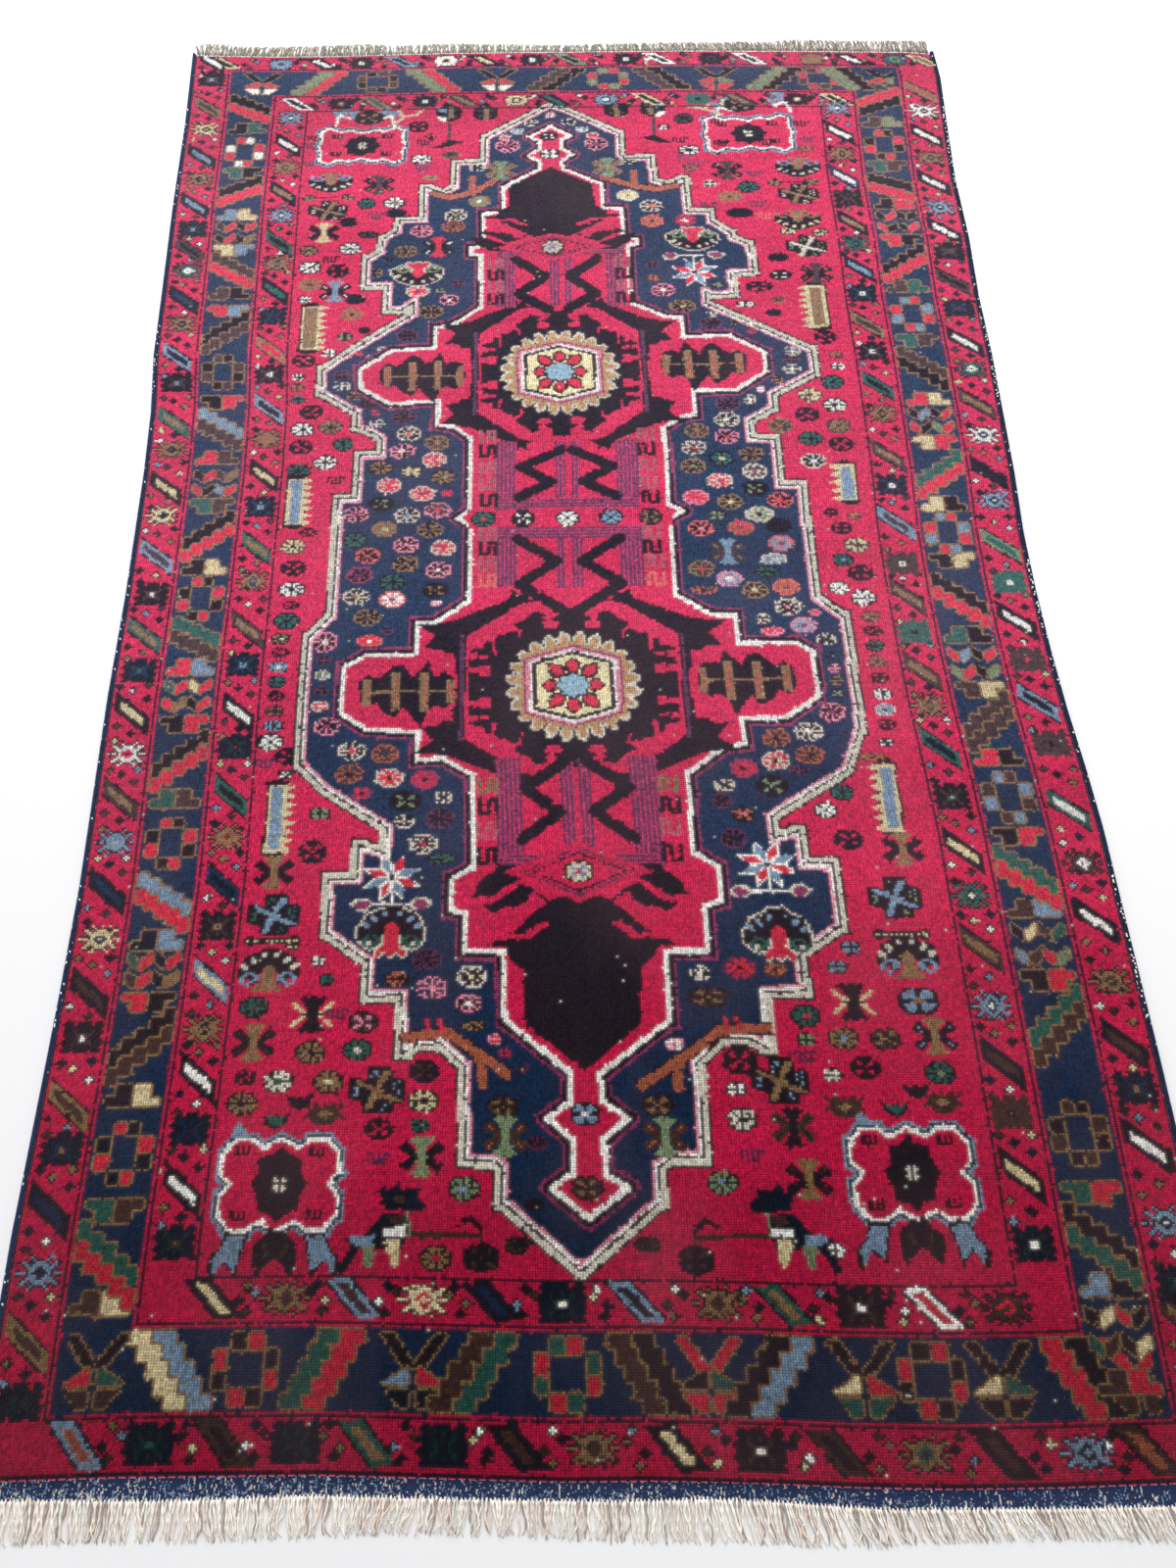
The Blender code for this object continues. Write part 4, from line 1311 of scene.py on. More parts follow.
def star_plant(u, v):
    """A star on its stem, with a bud on each side of the stem's foot."""
    foot = v + (-34 if v < 0 else 36)
    for side in (-1, 1):
        for reach, letter in ((1.0, "A"), (0.74, "M")):
            x, y = 15 * reach, 8 * reach
            bud = [(-x, 0), (-x * 0.4, y), (x * 0.4, y), (x, 0), (x * 0.4, -y), (-x * 0.4, -y)]
            fill(placed(bud, u + side * 36, foot), letter)
    line([(u, v), (u, foot)], 3, "W")
    line([(u - 22, foot), (u + 22, foot)], 3, "W")
    star(u, v)


def knot_medallions():
    """The navy medallion with its flowers, and the crimson heart."""
    fill(NAVY, "N")
    lined(NAVY, [(-5.0, -2.2, "P"), (-2.2, 1.0, "W"), (1.0, 3.6, "K"), (3.6, 10.2, "A"), (10.2, 12.6, "K")])
    for row in NAVY_FLOWERS:
        flower(*row)
    for bough, fork in TREES:
        line(bough, 14, "K")
        line(bough, 11, "T")
        line(fork, 11, "T")
    for u in (-195, -180, 152, 166):
        line([(u, -630), (u + 3, -640)], 5, "E")
    for u, v, letters in NAVY_BUTTERFLIES:
        stamp(BUTTERFLY, u, v, letters)
    for u, v in NAVY_STARS:
        star_plant(u, v)
    for u, v, letters, way in ((-243, -523, "KLEG", 1), (222, -532, "KLEG", 1), (-239, 531, "KAES", -1),
                               (198, 594, "KAES", -1)):
        size = (80, 62) if way > 0 else (82, 46)
        rim(DOME, u, v, "J", along=way, size=size)
        palmette(u, v, letters, way, size)
    fill(CRIMSON, "R")
    lined(CRIMSON, [(-6.2, 0.0, "W"), (0.0, 5.0, "K"), (5.0, 8.4, "M")])
    knot_centre()


knot_field()
knot_medallions()
knot_borders()


# Heights above the floor, in metres
PILE_TOP = 0.0088
CORRODED = 0.0005           # how much lower the brown and black wool has worn
WORKED = 0.00016            # unevenness of the shearing
PILE_FOOT = 0.0028
SLAB_TOP = 0.0062
SLAB_END = 0.0014           # the slab under its woven ends
BAND_TOP = 0.0027
BAND_SINK = 0.0006          # how far below that its hollows lie
WEFT_HUMP = 0.00042
BAND_UNEVEN = 0.00006
BAND_EDGE_DROP = 0.0004     # where the band meets the pile
ROOT_HEIGHT = 0.0012        # where a band and its fringe meet
LOOSE_LIFT = 0.0026         # how far a clean, upper yarn may rise
FLAT_LIFT = 0.0003          # and a darker one below it, its dye dust and painted shade
EDGE_HEIGHT = 0.0076

# Sizes in millimetres, as the chart
END_SLANT = 0.024           # how far the ends fall for each step to the right
CENTRE_ACROSS = -1.14
CENTRE_ALONG = -26.86
PILE_RIM = 0.9              # outermost ring of the pile, where it falls to its foot
WARP_COUNT = 860            # pairs of warps that show in an end band
WEFT_PITCH = 0.85
EDGE_INSET = 7.5            # width of the overcast edge
WRAP = 2.3                  # one turn of its wool
ARC_STEPS = 8
YARN = 0.00125              # half the width of one yarn, in metres

TUFT_CHANGE = 0.13          # how much one tuft's tone differs from the next
LINT = 0.0009               # share of knots with a speck of lint
MINGLE = 0.36               # how far a tuft's colour reaches into its neighbours
PILE_NAMES = ["pile_outer_guard", "pile_main_border", "pile_inner_guard", "pile_field_near",
              "pile_field_far", "pile_medallion", "pile_centre"]

# Across, along: where the near woven band stops, and where the tips of both fringes lie
NEAR_BAND_EDGE = [
    (-650, -1104.5), (-450, -1105.5), (-300, -1101.5), (-200, -1104.0), (0, -1108.0), (100, -1106.0),
    (160, -1108.5), (280, -1116.0), (450, -1116.0), (650, -1113.0),
]
NEAR_TIPS = [
    (-650, -1143.0), (-500, -1139.5), (-400, -1139.0), (-300, -1136.0), (-200, -1133.0),
    (-100, -1135.5), (0, -1141.0), (160, -1143.0), (190, -1146.0), (250, -1146.0), (400, -1140.0),
    (500, -1142.0), (650, -1147.0),
]
FAR_TIPS = [
    (-660, 1083), (-630, 1095), (-600, 1091), (-560, 1083), (-500, 1081), (-400, 1083), (-340, 1085),
    (-300, 1078), (-200, 1081), (0, 1071), (200, 1072), (370, 1068), (400, 1073), (500, 1067),
    (600, 1064), (650, 1060),
]
# Across, and how far a yarn's tip lies to the right of its root
NEAR_LEAN = [
    (-650, -4), (-500, 0), (-400, 2), (-300, -2), (-220, -7), (-120, -1), (0, 1), (100, 4), (160, 8),
    (300, 10), (500, 11), (650, 6),
]
FAR_LEAN = [(-650, -6), (-560, 3), (-300, -2), (0, 1), (350, -3), (420, 3), (650, 1)]
FAR_BAND_WIDTH = 11.0

rng = np.random.default_rng(11)


def linear(letter):
    """A dye as scene-linear colour."""
    rgb = np.array(DYES[letter]) / 255.0
    return np.where(rgb <= 0.04045, rgb / 12.92, ((rgb + 0.055) / 1.055) ** 2.4)


PALETTE = np.array([linear(letter) for letter in LETTERS])


def world(u, v, z):
    """Chart places in millimetres to world points in metres."""
    x = (u - CENTRE_ACROSS) * MM
    y = (v - END_SLANT * u - CENTRE_ALONG) * MM
    return np.stack(np.broadcast_arrays(x, y, z), axis=-1)


def new_piece(name, points, quads, material, colours=None, places=None, smooth=False):
    """A mesh object from points and quads, with colours by face or corner and two maps:
    one in knots or turns for the weave, one flat for the baked picture."""
    mesh = bpy.data.meshes.new(name)
    mesh.vertices.add(len(points))
    mesh.vertices.foreach_set("co", points.astype(np.float32).ravel())
    mesh.loops.add(quads.size)
    mesh.loops.foreach_set("vertex_index", quads.astype(np.int32).ravel())
    mesh.polygons.add(len(quads))
    mesh.polygons.foreach_set("loop_start", np.arange(0, quads.size, 4, dtype=np.int32))
    mesh.polygons.foreach_set("loop_total", np.full(len(quads), 4, np.int32))
    mesh.polygons.foreach_set("use_smooth", np.full(len(quads), smooth))
    mesh.update(calc_edges=True)
    if colours is not None:
        layer = mesh.color_attributes.new("Dye", "FLOAT_COLOR", "CORNER")
        if colours.ndim == 2:
            colours = np.repeat(colours[:, None], 4, axis=1)
        rgba = np.concatenate([colours, np.ones(colours.shape[:2] + (1,))], axis=2)
        layer.data.foreach_set("color", rgba.astype(np.float32).ravel())
    flat = mesh.uv_layers.new(name="OFBake")
    plan = points[quads.ravel(), :2]
    low, high = plan.min(axis=0), plan.max(axis=0)
    flat.data.foreach_set("uv", ((plan - low) / (high - low)).astype(np.float32).ravel())
    if places is not None:
        weave = mesh.uv_layers.new(name="Weave")
        weave.data.foreach_set("uv", places.astype(np.float32).ravel())
    mesh.materials.append(material)
    piece = bpy.data.objects.new(name, mesh)
    bpy.context.scene.collection.objects.link(piece)
    return piece


CORNERS = np.array([(0, 0), (1, 0), (1, 1), (0, 1)])      # of a quad, across and along


def corner_places(row, column):
    """Places of the corners of quads on the weave's map, from each quad's row and column."""
    return (np.stack([column, row], axis=1)[:, None, :] + CORNERS[None]).reshape(-1, 2)


def grid_quads(rows, columns):
    """Corner numbers of the quads of a grid of points, row by row."""
    first = (np.arange(rows - 1)[:, None] * columns + np.arange(columns - 1)[None, :]).ravel()
    return np.stack([first, first + 1, first + columns + 1, first + columns], axis=1)


# Materials


class Nodes:
    """Short ways to build one material's nodes."""

    def __init__(self, name, roughness):
        self.material = bpy.data.materials.new(name)
        self.material.use_nodes = True
        self.tree = self.material.node_tree
        self.shader = self.tree.nodes["Principled BSDF"]
        self.shader.inputs["Roughness"].default_value = roughness
        self.shader.inputs["Specular IOR Level"].default_value = 0.12

    def put(self, socket, value):
        """Link or set an input."""
        if isinstance(value, bpy.types.NodeSocket):
            self.tree.links.new(value, socket)
        else:
            socket.default_value = value

    def node(self, kind, output=0, settings=None, **inputs):
        made = self.tree.nodes.new(kind)
        for key, value in (settings or {}).items():
            setattr(made, key, value)
        for key, value in inputs.items():
            self.put(made.inputs[key.replace("_", " ")], value)
        return made.outputs[output]

    def maths(self, operation, a, b=0.0):
        made = self.tree.nodes.new("ShaderNodeMath")
        made.operation = operation
        for socket, value in zip(made.inputs, (a, b)):
            self.put(socket, value)
        return made.outputs[0]

    def product(self, a, b):
        return self.maths("MULTIPLY", a, b)

    def hump(self, value):
        """A half wave for each whole step of a value."""
        return self.maths("ABSOLUTE", self.maths("SINE", self.product(value, math.pi)))

    def noise(self, vector, scale, detail, rough):
        return self.node("ShaderNodeTexNoise", Vector=vector, Scale=scale, Detail=detail, Roughness=rough)

    def streaks(self, stretch, detail, rough):
        """Noise over the object, stretched: how often it changes in a metre, across, along and up."""
        place = self.node("ShaderNodeTexCoord", output=3)
        return self.noise(self.node("ShaderNodeMapping", Vector=place, Scale=stretch), 1.0, detail, rough)

    def split(self, vector):
        made = self.tree.nodes.new("ShaderNodeSeparateXYZ")
        self.put(made.inputs[0], vector)
        return made.outputs

    def weave(self):
        return self.node("ShaderNodeUVMap", settings={"uv_map": "Weave"})

    def dyes(self):
        return self.node("ShaderNodeAttribute", settings={"attribute_name": "Dye"})

    def ramp(self, value, low, high, to_low=0.0, to_high=1.0):
        made = self.tree.nodes.new("ShaderNodeMapRange")
        for socket, number in zip(made.inputs, (value, low, high, to_low, to_high)):
            self.put(socket, number)
        return made.outputs[0]

    def mix(self, share, a, b):
        made = self.tree.nodes.new("ShaderNodeMix")
        made.data_type = "RGBA"
        self.put(made.inputs[0], share)
        self.put(made.inputs[6], a)
        self.put(made.inputs[7], b)
        return made.outputs[2]

    def shade(self, colour, factor):
        """Darken or lighten a colour by a grey factor."""
        made = self.tree.nodes.new("ShaderNodeVectorMath")
        made.operation = "SCALE"
        self.put(made.inputs[0], colour)
        self.put(made.inputs["Scale"], factor)
        return made.outputs[0]

    def finish(self, colour, height, distance, strength, sheen=0.0):
        """Give the shader its colour, and its relief in metres."""
        self.put(self.shader.inputs["Base Color"], colour)
        self.shader.inputs["Sheen Weight"].default_value = sheen
        self.shader.inputs["Sheen Roughness"].default_value = 0.22
        bump = self.tree.nodes.new("ShaderNodeBump")
        bump.inputs["Distance"].default_value = distance
        bump.inputs["Strength"].default_value = strength
        self.put(bump.inputs["Height"], height)
        self.put(self.shader.inputs["Normal"], bump.outputs[0])
        return self.material


def pile_material():
    """Cut wool: a tuft for each knot, darker where tufts meet (painted shade), fibres across it, slow
    changes of dye and wear.
    """
    n = Nodes("pile_wool", 0.93)
    weave = n.weave()
    across, along = n.split(weave)[:2]
    tuft = n.product(*[n.maths("POWER", n.hump(n.maths("FRACT", value)), steepness)
                       for value, steepness in ((across, 0.65), (along, 0.3))])
    cell = n.node("ShaderNodeTexWhiteNoise", Vector=n.node(
        "ShaderNodeVectorMath", settings={"operation": "FLOOR"}, Vector=weave))
    fibre = n.streaks((1000.0, 480.0, 400.0), 4.0, 0.7)
    nap = n.streaks((330.0, 150.0, 90.0), 3.0, 0.65)
    abrash = n.streaks((1.1, 9.0, 1.0), 3.0, 0.5)
    wear = n.streaks((3.5, 2.2, 1.0), 4.0, 0.6)
    rows = n.streaks((6.0, 260.0, 1.0), 2.0, 0.6)
    factor = n.ramp(cell, 0.0, 1.0, 0.86, 1.10)
    # The tuft term darkens the dye toward each knot's edges: painted shade between tufts
    for value, low, high, dark, light in (
        (fibre, 0.25, 0.75, 0.66, 1.3), (nap, 0.3, 0.7, 0.66, 1.32), (abrash, 0.3, 0.7, 0.86, 1.13),
        (rows, 0.3, 0.7, 0.93, 1.06), (tuft, 0.0, 0.9, 0.66, 1.09),
    ):
        factor = n.product(factor, n.ramp(value, low, high, dark, light))
    faded = n.mix(n.ramp(wear, 0.42, 0.75, 0.0, 0.10), n.shade(n.dyes(), factor), (0.42, 0.24, 0.26, 1.0))
    height = n.maths("ADD", n.product(tuft, 0.8), n.product(fibre, 0.35))
    height = n.maths("ADD", height, n.product(nap, 0.5))
    return n.finish(faded, height, distance=0.0011, strength=1.0, sheen=0.22)


def yarn_material(name, sheen=0.05, twist=0.0):
    """Spun yarn: ridges of its plies where it has a twist, darker in the grooves between them (painted
    shade), fibres, a little soiling.
    """
    n = Nodes(name, 0.9)
    fibre = n.streaks((1400.0, 500.0, 900.0), 4.0, 0.7)
    soil = n.streaks((18.0, 30.0, 20.0), 3.0, 0.6)
    factor = n.product(n.ramp(fibre, 0.25, 0.75, 0.92, 1.1), n.ramp(soil, 0.3, 0.7, 0.95, 1.06))
    height = fibre
    if twist:
        across, along = n.split(n.weave())[:2]
        ridge = n.hump(n.maths("ADD", across, n.product(along, twist)))
        # Darker in the grooves between the plies: painted shade
        factor = n.product(factor, n.ramp(ridge, 0.0, 0.8, 0.9, 1.05))
        height = n.maths("ADD", n.product(fibre, 0.4), ridge)
    return n.finish(n.shade(n.dyes(), factor), height, distance=0.0004, strength=0.35, sheen=sheen)


LOOP_WIDE, LOOP_TALL = 0.00148, 0.0026      # one knot's loop on the back, in metres


def back_material():
    """The woven back: rows of knot loops between weft lines."""
    n = Nodes("woven_back", 0.94)
    across, along = n.split(n.node("ShaderNodeTexCoord", output=3))[:2]
    fibre = n.streaks((700.0, 500.0, 300.0), 4.0, 0.7)
    blot = n.streaks((5.0, 9.0, 1.0), 3.0, 0.5)
    loops = n.product(*[n.maths("POWER", n.hump(n.product(value, 1 / pitch)), 0.5)
                        for value, pitch in ((across, LOOP_WIDE), (along, LOOP_TALL))])
    colour = n.mix(n.ramp(loops, 0.2, 0.8), (0.44, 0.36, 0.27, 1.0), (0.22, 0.030, 0.048, 1.0))
    colour = n.mix(n.ramp(blot, 0.45, 0.6, 0.0, 0.55), colour, (0.045, 0.05, 0.085, 1.0))
    colour = n.shade(colour, n.ramp(fibre, 0.25, 0.75, 0.8, 1.15))
    return n.finish(colour, n.maths("ADD", loops, n.product(fibre, 0.4)), 0.0007, 0.8)


# Pile: one face for each knot, in pieces by border and field


def pile_heights():
    """Heights of the corners between knots, with worn dark wool and uneven shearing."""
    worn = np.isin(knots, [LETTERS.index(letter) for letter in "KB"]) * CORRODED
    worn = np.pad(worn, 1, mode="edge")
    low = (worn[:-1, :-1] + worn[1:, :-1] + worn[:-1, 1:] + worn[1:, 1:]) / 4
    slow = np.sin(knot_sweep(7.0)) * 0.00008 + np.sin(knot_sweep(23.0)) * 0.00006
    return PILE_TOP - low - slow + rng.normal(0.0, WORKED, low.shape)


def knot_sweep(turns):
    """Slow slanting waves over the corners between knots, as angles."""
    rows, columns = np.meshgrid(np.arange(ROWS + 1), np.arange(COLUMNS + 1), indexing="ij")
    return turns * (rows / ROWS * 6.1 + columns / COLUMNS * 2.7 + np.sin(columns / COLUMNS * 9.0 + turns))


# The border's pieces, and how many knots in from the sides, the near end and the far end each stops
BORDER_DEPTHS = [("pile_inner_guard", 71, 73, 57), ("pile_main_border", 48, 52, 39),
                 ("pile_outer_guard", 21, 20, 14)]


def pile_zones():
    """Which piece each knot belongs to, counted on the padded chart."""
    number = PILE_NAMES.index
    across = np.minimum(np.arange(COLUMNS), COLUMNS - 1 - np.arange(COLUMNS))[None, :]
    near = np.arange(ROWS)[:, None]
    far = ROWS - 1 - near
    zone = np.where(near < ROWS * 0.5, number("pile_field_near"), number("pile_field_far"))
    zone = zone + np.zeros_like(across)
    whole = (slice(None), slice(None))
    zone[inside(NAVY, whole)] = number("pile_medallion")
    zone[inside(CRIMSON, whole)] = number("pile_centre")
    for name, side_depth, near_depth, far_depth in BORDER_DEPTHS:
        zone[(across < side_depth) | (near < near_depth) | (far < far_depth)] = number(name)
    return np.pad(zone, 1, mode="edge")


# Painted shade and sheen along the rug, from the near end to the far end: along, depth of tone (painted
# shade, darkest at the near end), pale bloom (painted sheen, strongest toward the far end)
PAINTED_SHADE_AND_SHEEN = np.array([
    (-1060, 0.55, 0.0), (-980, 0.58, 0.0), (-880, 0.66, 0.0), (-750, 0.83, 0.0), (-600, 0.96, 0.004),
    (-400, 1.14, 0.022), (-100, 1.31, 0.050), (300, 1.34, 0.058), (700, 1.31, 0.060), (1060, 1.12, 0.062),
])
PAINTED_TABLE_NEAR, PAINTED_TABLE_FAR = -1064, 1066       # where the padded chart starts and stops on that table
# Tint of the painted sheen added toward the far end
SHEEN_TINT = np.array([0.50, 0.62, 1.0])
STRAY = 0.03                # share of knots that slip one place, in each of four ways


def pile_colours():
    """Colours at the four corners of each knot: tufts vary, and mingle with those beside them; painted
    shade darkens them toward the near end, and a painted sheen lightens them toward the far end.
    """
    chart = np.pad(knots, 1, mode="edge")
    stray = rng.random(chart.shape)
    for share, axis, step in ((0.03, 0, 1), (0.06, 0, -1), (0.09, 1, 1), (0.12, 1, -1)):
        chart = np.where((stray > share - STRAY) & (stray < share), np.roll(chart, step, axis), chart)
    tufts = PALETTE[chart] * rng.normal(1.0, TUFT_CHANGE, chart.shape + (1,)).clip(0.5, 1.6)
    tufts = tufts * rng.normal(1.0, 0.04, tufts.shape)
    # Painted shade and sheen by place along the rug: depth darkens tufts toward the near end and brightens
    # them toward the far end, sparing light dyes, and the painted sheen adds a pale haze, less on dark dyes
    along = np.linspace(PAINTED_TABLE_NEAR, PAINTED_TABLE_FAR, ROWS + 2)
    depth, painted_sheen = [np.interp(along, PAINTED_SHADE_AND_SHEEN[:, 0], PAINTED_SHADE_AND_SHEEN[:, part])[:, None, None] for part in (1, 2)]
    pale = (tufts.min(axis=2, keepdims=True) / 0.4).clip(0, 1) * 0.8
    taken = (0.15 + 14 * tufts.max(axis=2, keepdims=True)).clip(0, 1)
    tufts = tufts * (depth + (1 - depth) * pale) + painted_sheen * taken * SHEEN_TINT
    lint = rng.random(chart.shape) < LINT
    tufts[lint] = PALETTE[LETTERS.index("A")] * 0.8
    wide = np.pad(tufts, ((1, 1), (1, 1), (0, 0)), mode="edge")
    joints = (wide[:-1, :-1] + wide[1:, :-1] + wide[:-1, 1:] + wide[1:, 1:]) / 4
    corners = [joints[:-1, :-1], joints[:-1, 1:], joints[1:, 1:], joints[1:, :-1]]
    mingled = [tufts * (1 - MINGLE) + corner * MINGLE for corner in corners]
    return np.stack(mingled, axis=2).reshape(-1, 4, 3)


def lay_pile(material):
    """Make the pile's pieces from the chart."""
    columns, rows = [
        np.concatenate([[-PILE_RIM / size], np.arange(count + 1) / count, [1 + PILE_RIM / size]])
        for count, size in ((COLUMNS, PILE_WIDE), (ROWS, PILE_LONG))]
    u, v = mesh_places(columns, rows)
    u[2:-2, 2:-2] += rng.normal(0.0, 0.16, u[2:-2, 2:-2].shape)
    v[2:-2, 2:-2] += rng.normal(0.0, 0.14, v[2:-2, 2:-2].shape)
    z = np.pad(pile_heights(), 1, mode="edge")
    for depth, drop in ((2, 0.0003), (1, 0.0012)):
        z[depth], z[-1 - depth] = z[depth] - drop, z[-1 - depth] - drop
        z[:, depth], z[:, -1 - depth] = z[:, depth] - drop, z[:, -1 - depth] - drop
    z[0] = z[-1] = z[:, 0] = z[:, -1] = PILE_FOOT
    points = world(u, v, z).reshape(-1, 3)
    quads = grid_quads(*u.shape)
    colours = pile_colours()
    places = corner_places(*np.divmod(np.arange(len(quads)), COLUMNS + 2))
    zones = pile_zones().ravel()
    pieces = []
    for zone, name in enumerate(PILE_NAMES):
        chosen = zones == zone
        used, corners = np.unique(quads[chosen], return_inverse=True)
        corners = corners.reshape(-1, 4)
        spots = places.reshape(-1, 4, 2)[chosen].reshape(-1, 2)
        pieces.append(new_piece(name, points[used], corners, material, colours[chosen], spots))
    return pieces


# The slab of warps, wefts and knots under the pile


def row_of(table, shares, shift=0.0):
    """A row of places across the whole rug, along one of its end lines."""
    v = np.full(len(shares), np.mean([row[1] for row in table]))
    for _ in range(3):
        left, right = sides_at(v, EDGE_INSET)
        u = left + (right - left) * shares
        v = side_at(table, u) + shift
    return u, v


SLAB_LINES = (45, 70)       # how many lines of points run along the slab and across it


def make_foundation(material):
    """A closed slab, thick under the pile and thin at its two woven ends."""
    shares = np.linspace(0.0, 1.0, SLAB_LINES[0])

    def ends(rows):
        return [(*row_of(table, shares, shift), np.full(len(shares), top)) for table, shift, top in rows]

    lines = ends([(NEAR_BAND_EDGE, 0.3, SLAB_END), (NEAR_PILE_EDGE, -0.3, SLAB_END),
                  (NEAR_PILE_EDGE, 1.6, SLAB_TOP)])
    for share in np.linspace(0.0, 1.0, SLAB_LINES[1])[1:-1]:
        u, v = mesh_places(shares, np.array([share]))
        lines.append((u[0], v[0], np.full(len(shares), SLAB_TOP)))
    lines += ends([(FAR_PILE_EDGE, -1.6, SLAB_TOP), (FAR_PILE_EDGE, 0.3, SLAB_END),
                   (FAR_PILE_EDGE, FAR_BAND_WIDTH - 0.3, SLAB_END)])
    u, v, top = (np.array([line[part] for line in lines]) for part in range(3))
    upper = world(u, v, top).reshape(-1, 3)
    lower = world(u, v, 0.0).reshape(-1, 3)
    faces = grid_quads(*u.shape)
    count = len(upper)
    index = np.arange(count).reshape(u.shape)
    rim = np.concatenate([index[0, :-1], index[:-1, -1], index[-1, :0:-1], index[:0:-1, 0]])
    following = np.roll(rim, -1)
    walls = np.stack([following, rim, rim + count, following + count], axis=1)
    quads = np.concatenate([faces, faces[:, ::-1] + count, walls])
    return new_piece("foundation", np.concatenate([upper, lower]), quads, material)


def make_band(name, table, start, stop, material, colour_at):
    """A flat-woven end band: each weft crossing of a pair of warps is one small hump.

    start and stop are each the table of a line across the rug, and a distance to be added.
    """
    def reach(at):
        return side_at(start[0], at) + start[1], side_at(stop[0], at) + stop[1]

    middle_start, middle_stop = reach(0.0)
    across, wefts = WARP_COUNT, int(abs(middle_stop - middle_start) / WEFT_PITCH)
    shares = np.linspace(0.0, 1.0, across + 1)
    u, _ = row_of(table, shares)
    first, last = reach(u)
    steps = np.linspace(0.0, 1.0, wefts + 1)[:, None]
    v = first[None] + (last - first)[None] * steps + rng.normal(0, 0.12, (wefts + 1, across + 1))
    u = np.broadcast_to(u, v.shape) + rng.normal(0, 0.12, v.shape)
    odd = (np.arange(wefts + 1)[:, None] + np.arange(across + 1)[None]) % 2
    z = BAND_TOP - BAND_SINK + odd * WEFT_HUMP + rng.normal(0, BAND_UNEVEN, v.shape)
    z[0] = z[0] - BAND_EDGE_DROP
    z[-1] = ROOT_HEIGHT
    points = world(u, v, z).reshape(-1, 3)
    quads = grid_quads(*v.shape)
    if middle_stop < middle_start:
        quads = quads[:, ::-1]
    letters = colour_at(wefts, across)
    colours = PALETTE[letters.ravel()] * rng.normal(1.0, 0.13, (letters.size, 1))
    places = corner_places(*np.divmod(np.arange(len(quads)), across))
    return new_piece(name, points, quads, material, colours, places)


def near_band_letters(wefts, across):
    """Dark edge, a dashed crimson weft, then navy wool that has worn to its white warps."""
    letters = np.full((wefts, across), LETTERS.index("U"))
    letters[0] = LETTERS.index("D")
    dashes = (np.arange(across) + np.arange(across) // 40) % 7 < 5
    letters[2, dashes] = LETTERS.index("E")
    letters[3, dashes] = LETTERS.index("P")
    for row in range(4, wefts):
        bare = np.linspace(0.9, 0.4, across) * (0.14 + 0.34 * ((row - 4) / (wefts - 4)) ** 1.5)
        letters[row, rng.random(across) < bare] = LETTERS.index("L")
        letters[row, rng.random(across) < bare * 0.45] = LETTERS.index("J")
        kept = rng.random(across) < (0.5 if row > 4 else 0.0)
        letters[row, kept] = letters[row - 1, kept]
    return letters


def far_band_letters(wefts, across):
    """Dark edge, then navy wool worn ever more to its white warps."""
    letters = np.full((wefts, across), LETTERS.index("U"))
    letters[0] = LETTERS.index("D")
    for row in range(1, wefts):
        letters[row, rng.random(across) < 0.25 + 0.55 * row / wefts] = LETTERS.index("F")
    return letters


# Warp ends: two twisted plies each, with a knot at the root


PLY_SIDES = 4
PLY_SPIN = 0.6              # how far a ply's sides are turned from level, in radians


def tube(path, radius):
    """Points and quads of a thin closed tube along a path that runs mostly along Y."""
    ahead = np.gradient(path, axis=0)
    ahead /= np.linalg.norm(ahead, axis=1)[:, None]
    sideways = np.cross(ahead, [0.0, 0.0, 1.0])
    sideways /= np.linalg.norm(sideways, axis=1)[:, None]
    above = np.cross(sideways, ahead)
    turn = PLY_SPIN + np.arange(PLY_SIDES) * 2 * math.pi / PLY_SIDES
    ring = sideways[:, None] * np.cos(turn)[None, :, None] + above[:, None] * np.sin(turn)[None, :, None]
    points = path[:, None] + ring * radius[:, None, None]
    rows, columns = np.meshgrid(np.arange(len(path) - 1), np.arange(PLY_SIDES), indexing="ij")
    first = (rows * PLY_SIDES + columns).ravel()
    beside = (rows * PLY_SIDES + (columns + 1) % PLY_SIDES).ravel()
    quads = np.stack([first, beside, beside + PLY_SIDES, first + PLY_SIDES], axis=1)
    cap = np.array([[0, 3, 2, 1], [0, 1, 2, 3]])
    cap[1] += (len(path) - 1) * PLY_SIDES
    return points.reshape(-1, 3), np.concatenate([quads, cap])


TWIST = 9.5                 # turn of a yarn's plies from its root to its tip, in radians


def strand_paths(root, tip, lift, steps_along):
    """The two plies of one yarn from its root to its cut tip, with a slow bend and a little crimp."""
    steps = np.linspace(0.0, 1.0, steps_along)
    bend, crimp = rng.normal(0.0, 3.2), rng.normal(0.0, 1.7)
    phase = rng.uniform(0, 2 * math.pi)
    u = root[0] + (tip[0] - root[0]) * steps ** 1.15
    u = u + bend * np.sin(steps * math.pi) * steps + crimp * np.sin(steps * 8.0 + phase) * steps ** 0.6
    v = root[1] + (tip[1] - root[1]) * steps
    thick = YARN * (1.0 - 0.7 * steps ** 6)
    z = ROOT_HEIGHT * (1 - steps) ** 2 + thick * 1.05
    z = z + rng.uniform(0.0, lift) * np.sin(steps * math.pi) ** 0.5
    for side in (0.0, math.pi):
        angle = steps * TWIST + phase + side
        offset = thick * 0.48
        yield (world(u + np.cos(angle) * offset / MM, v, z + np.sin(angle) * offset * 0.8), thick * 0.56)


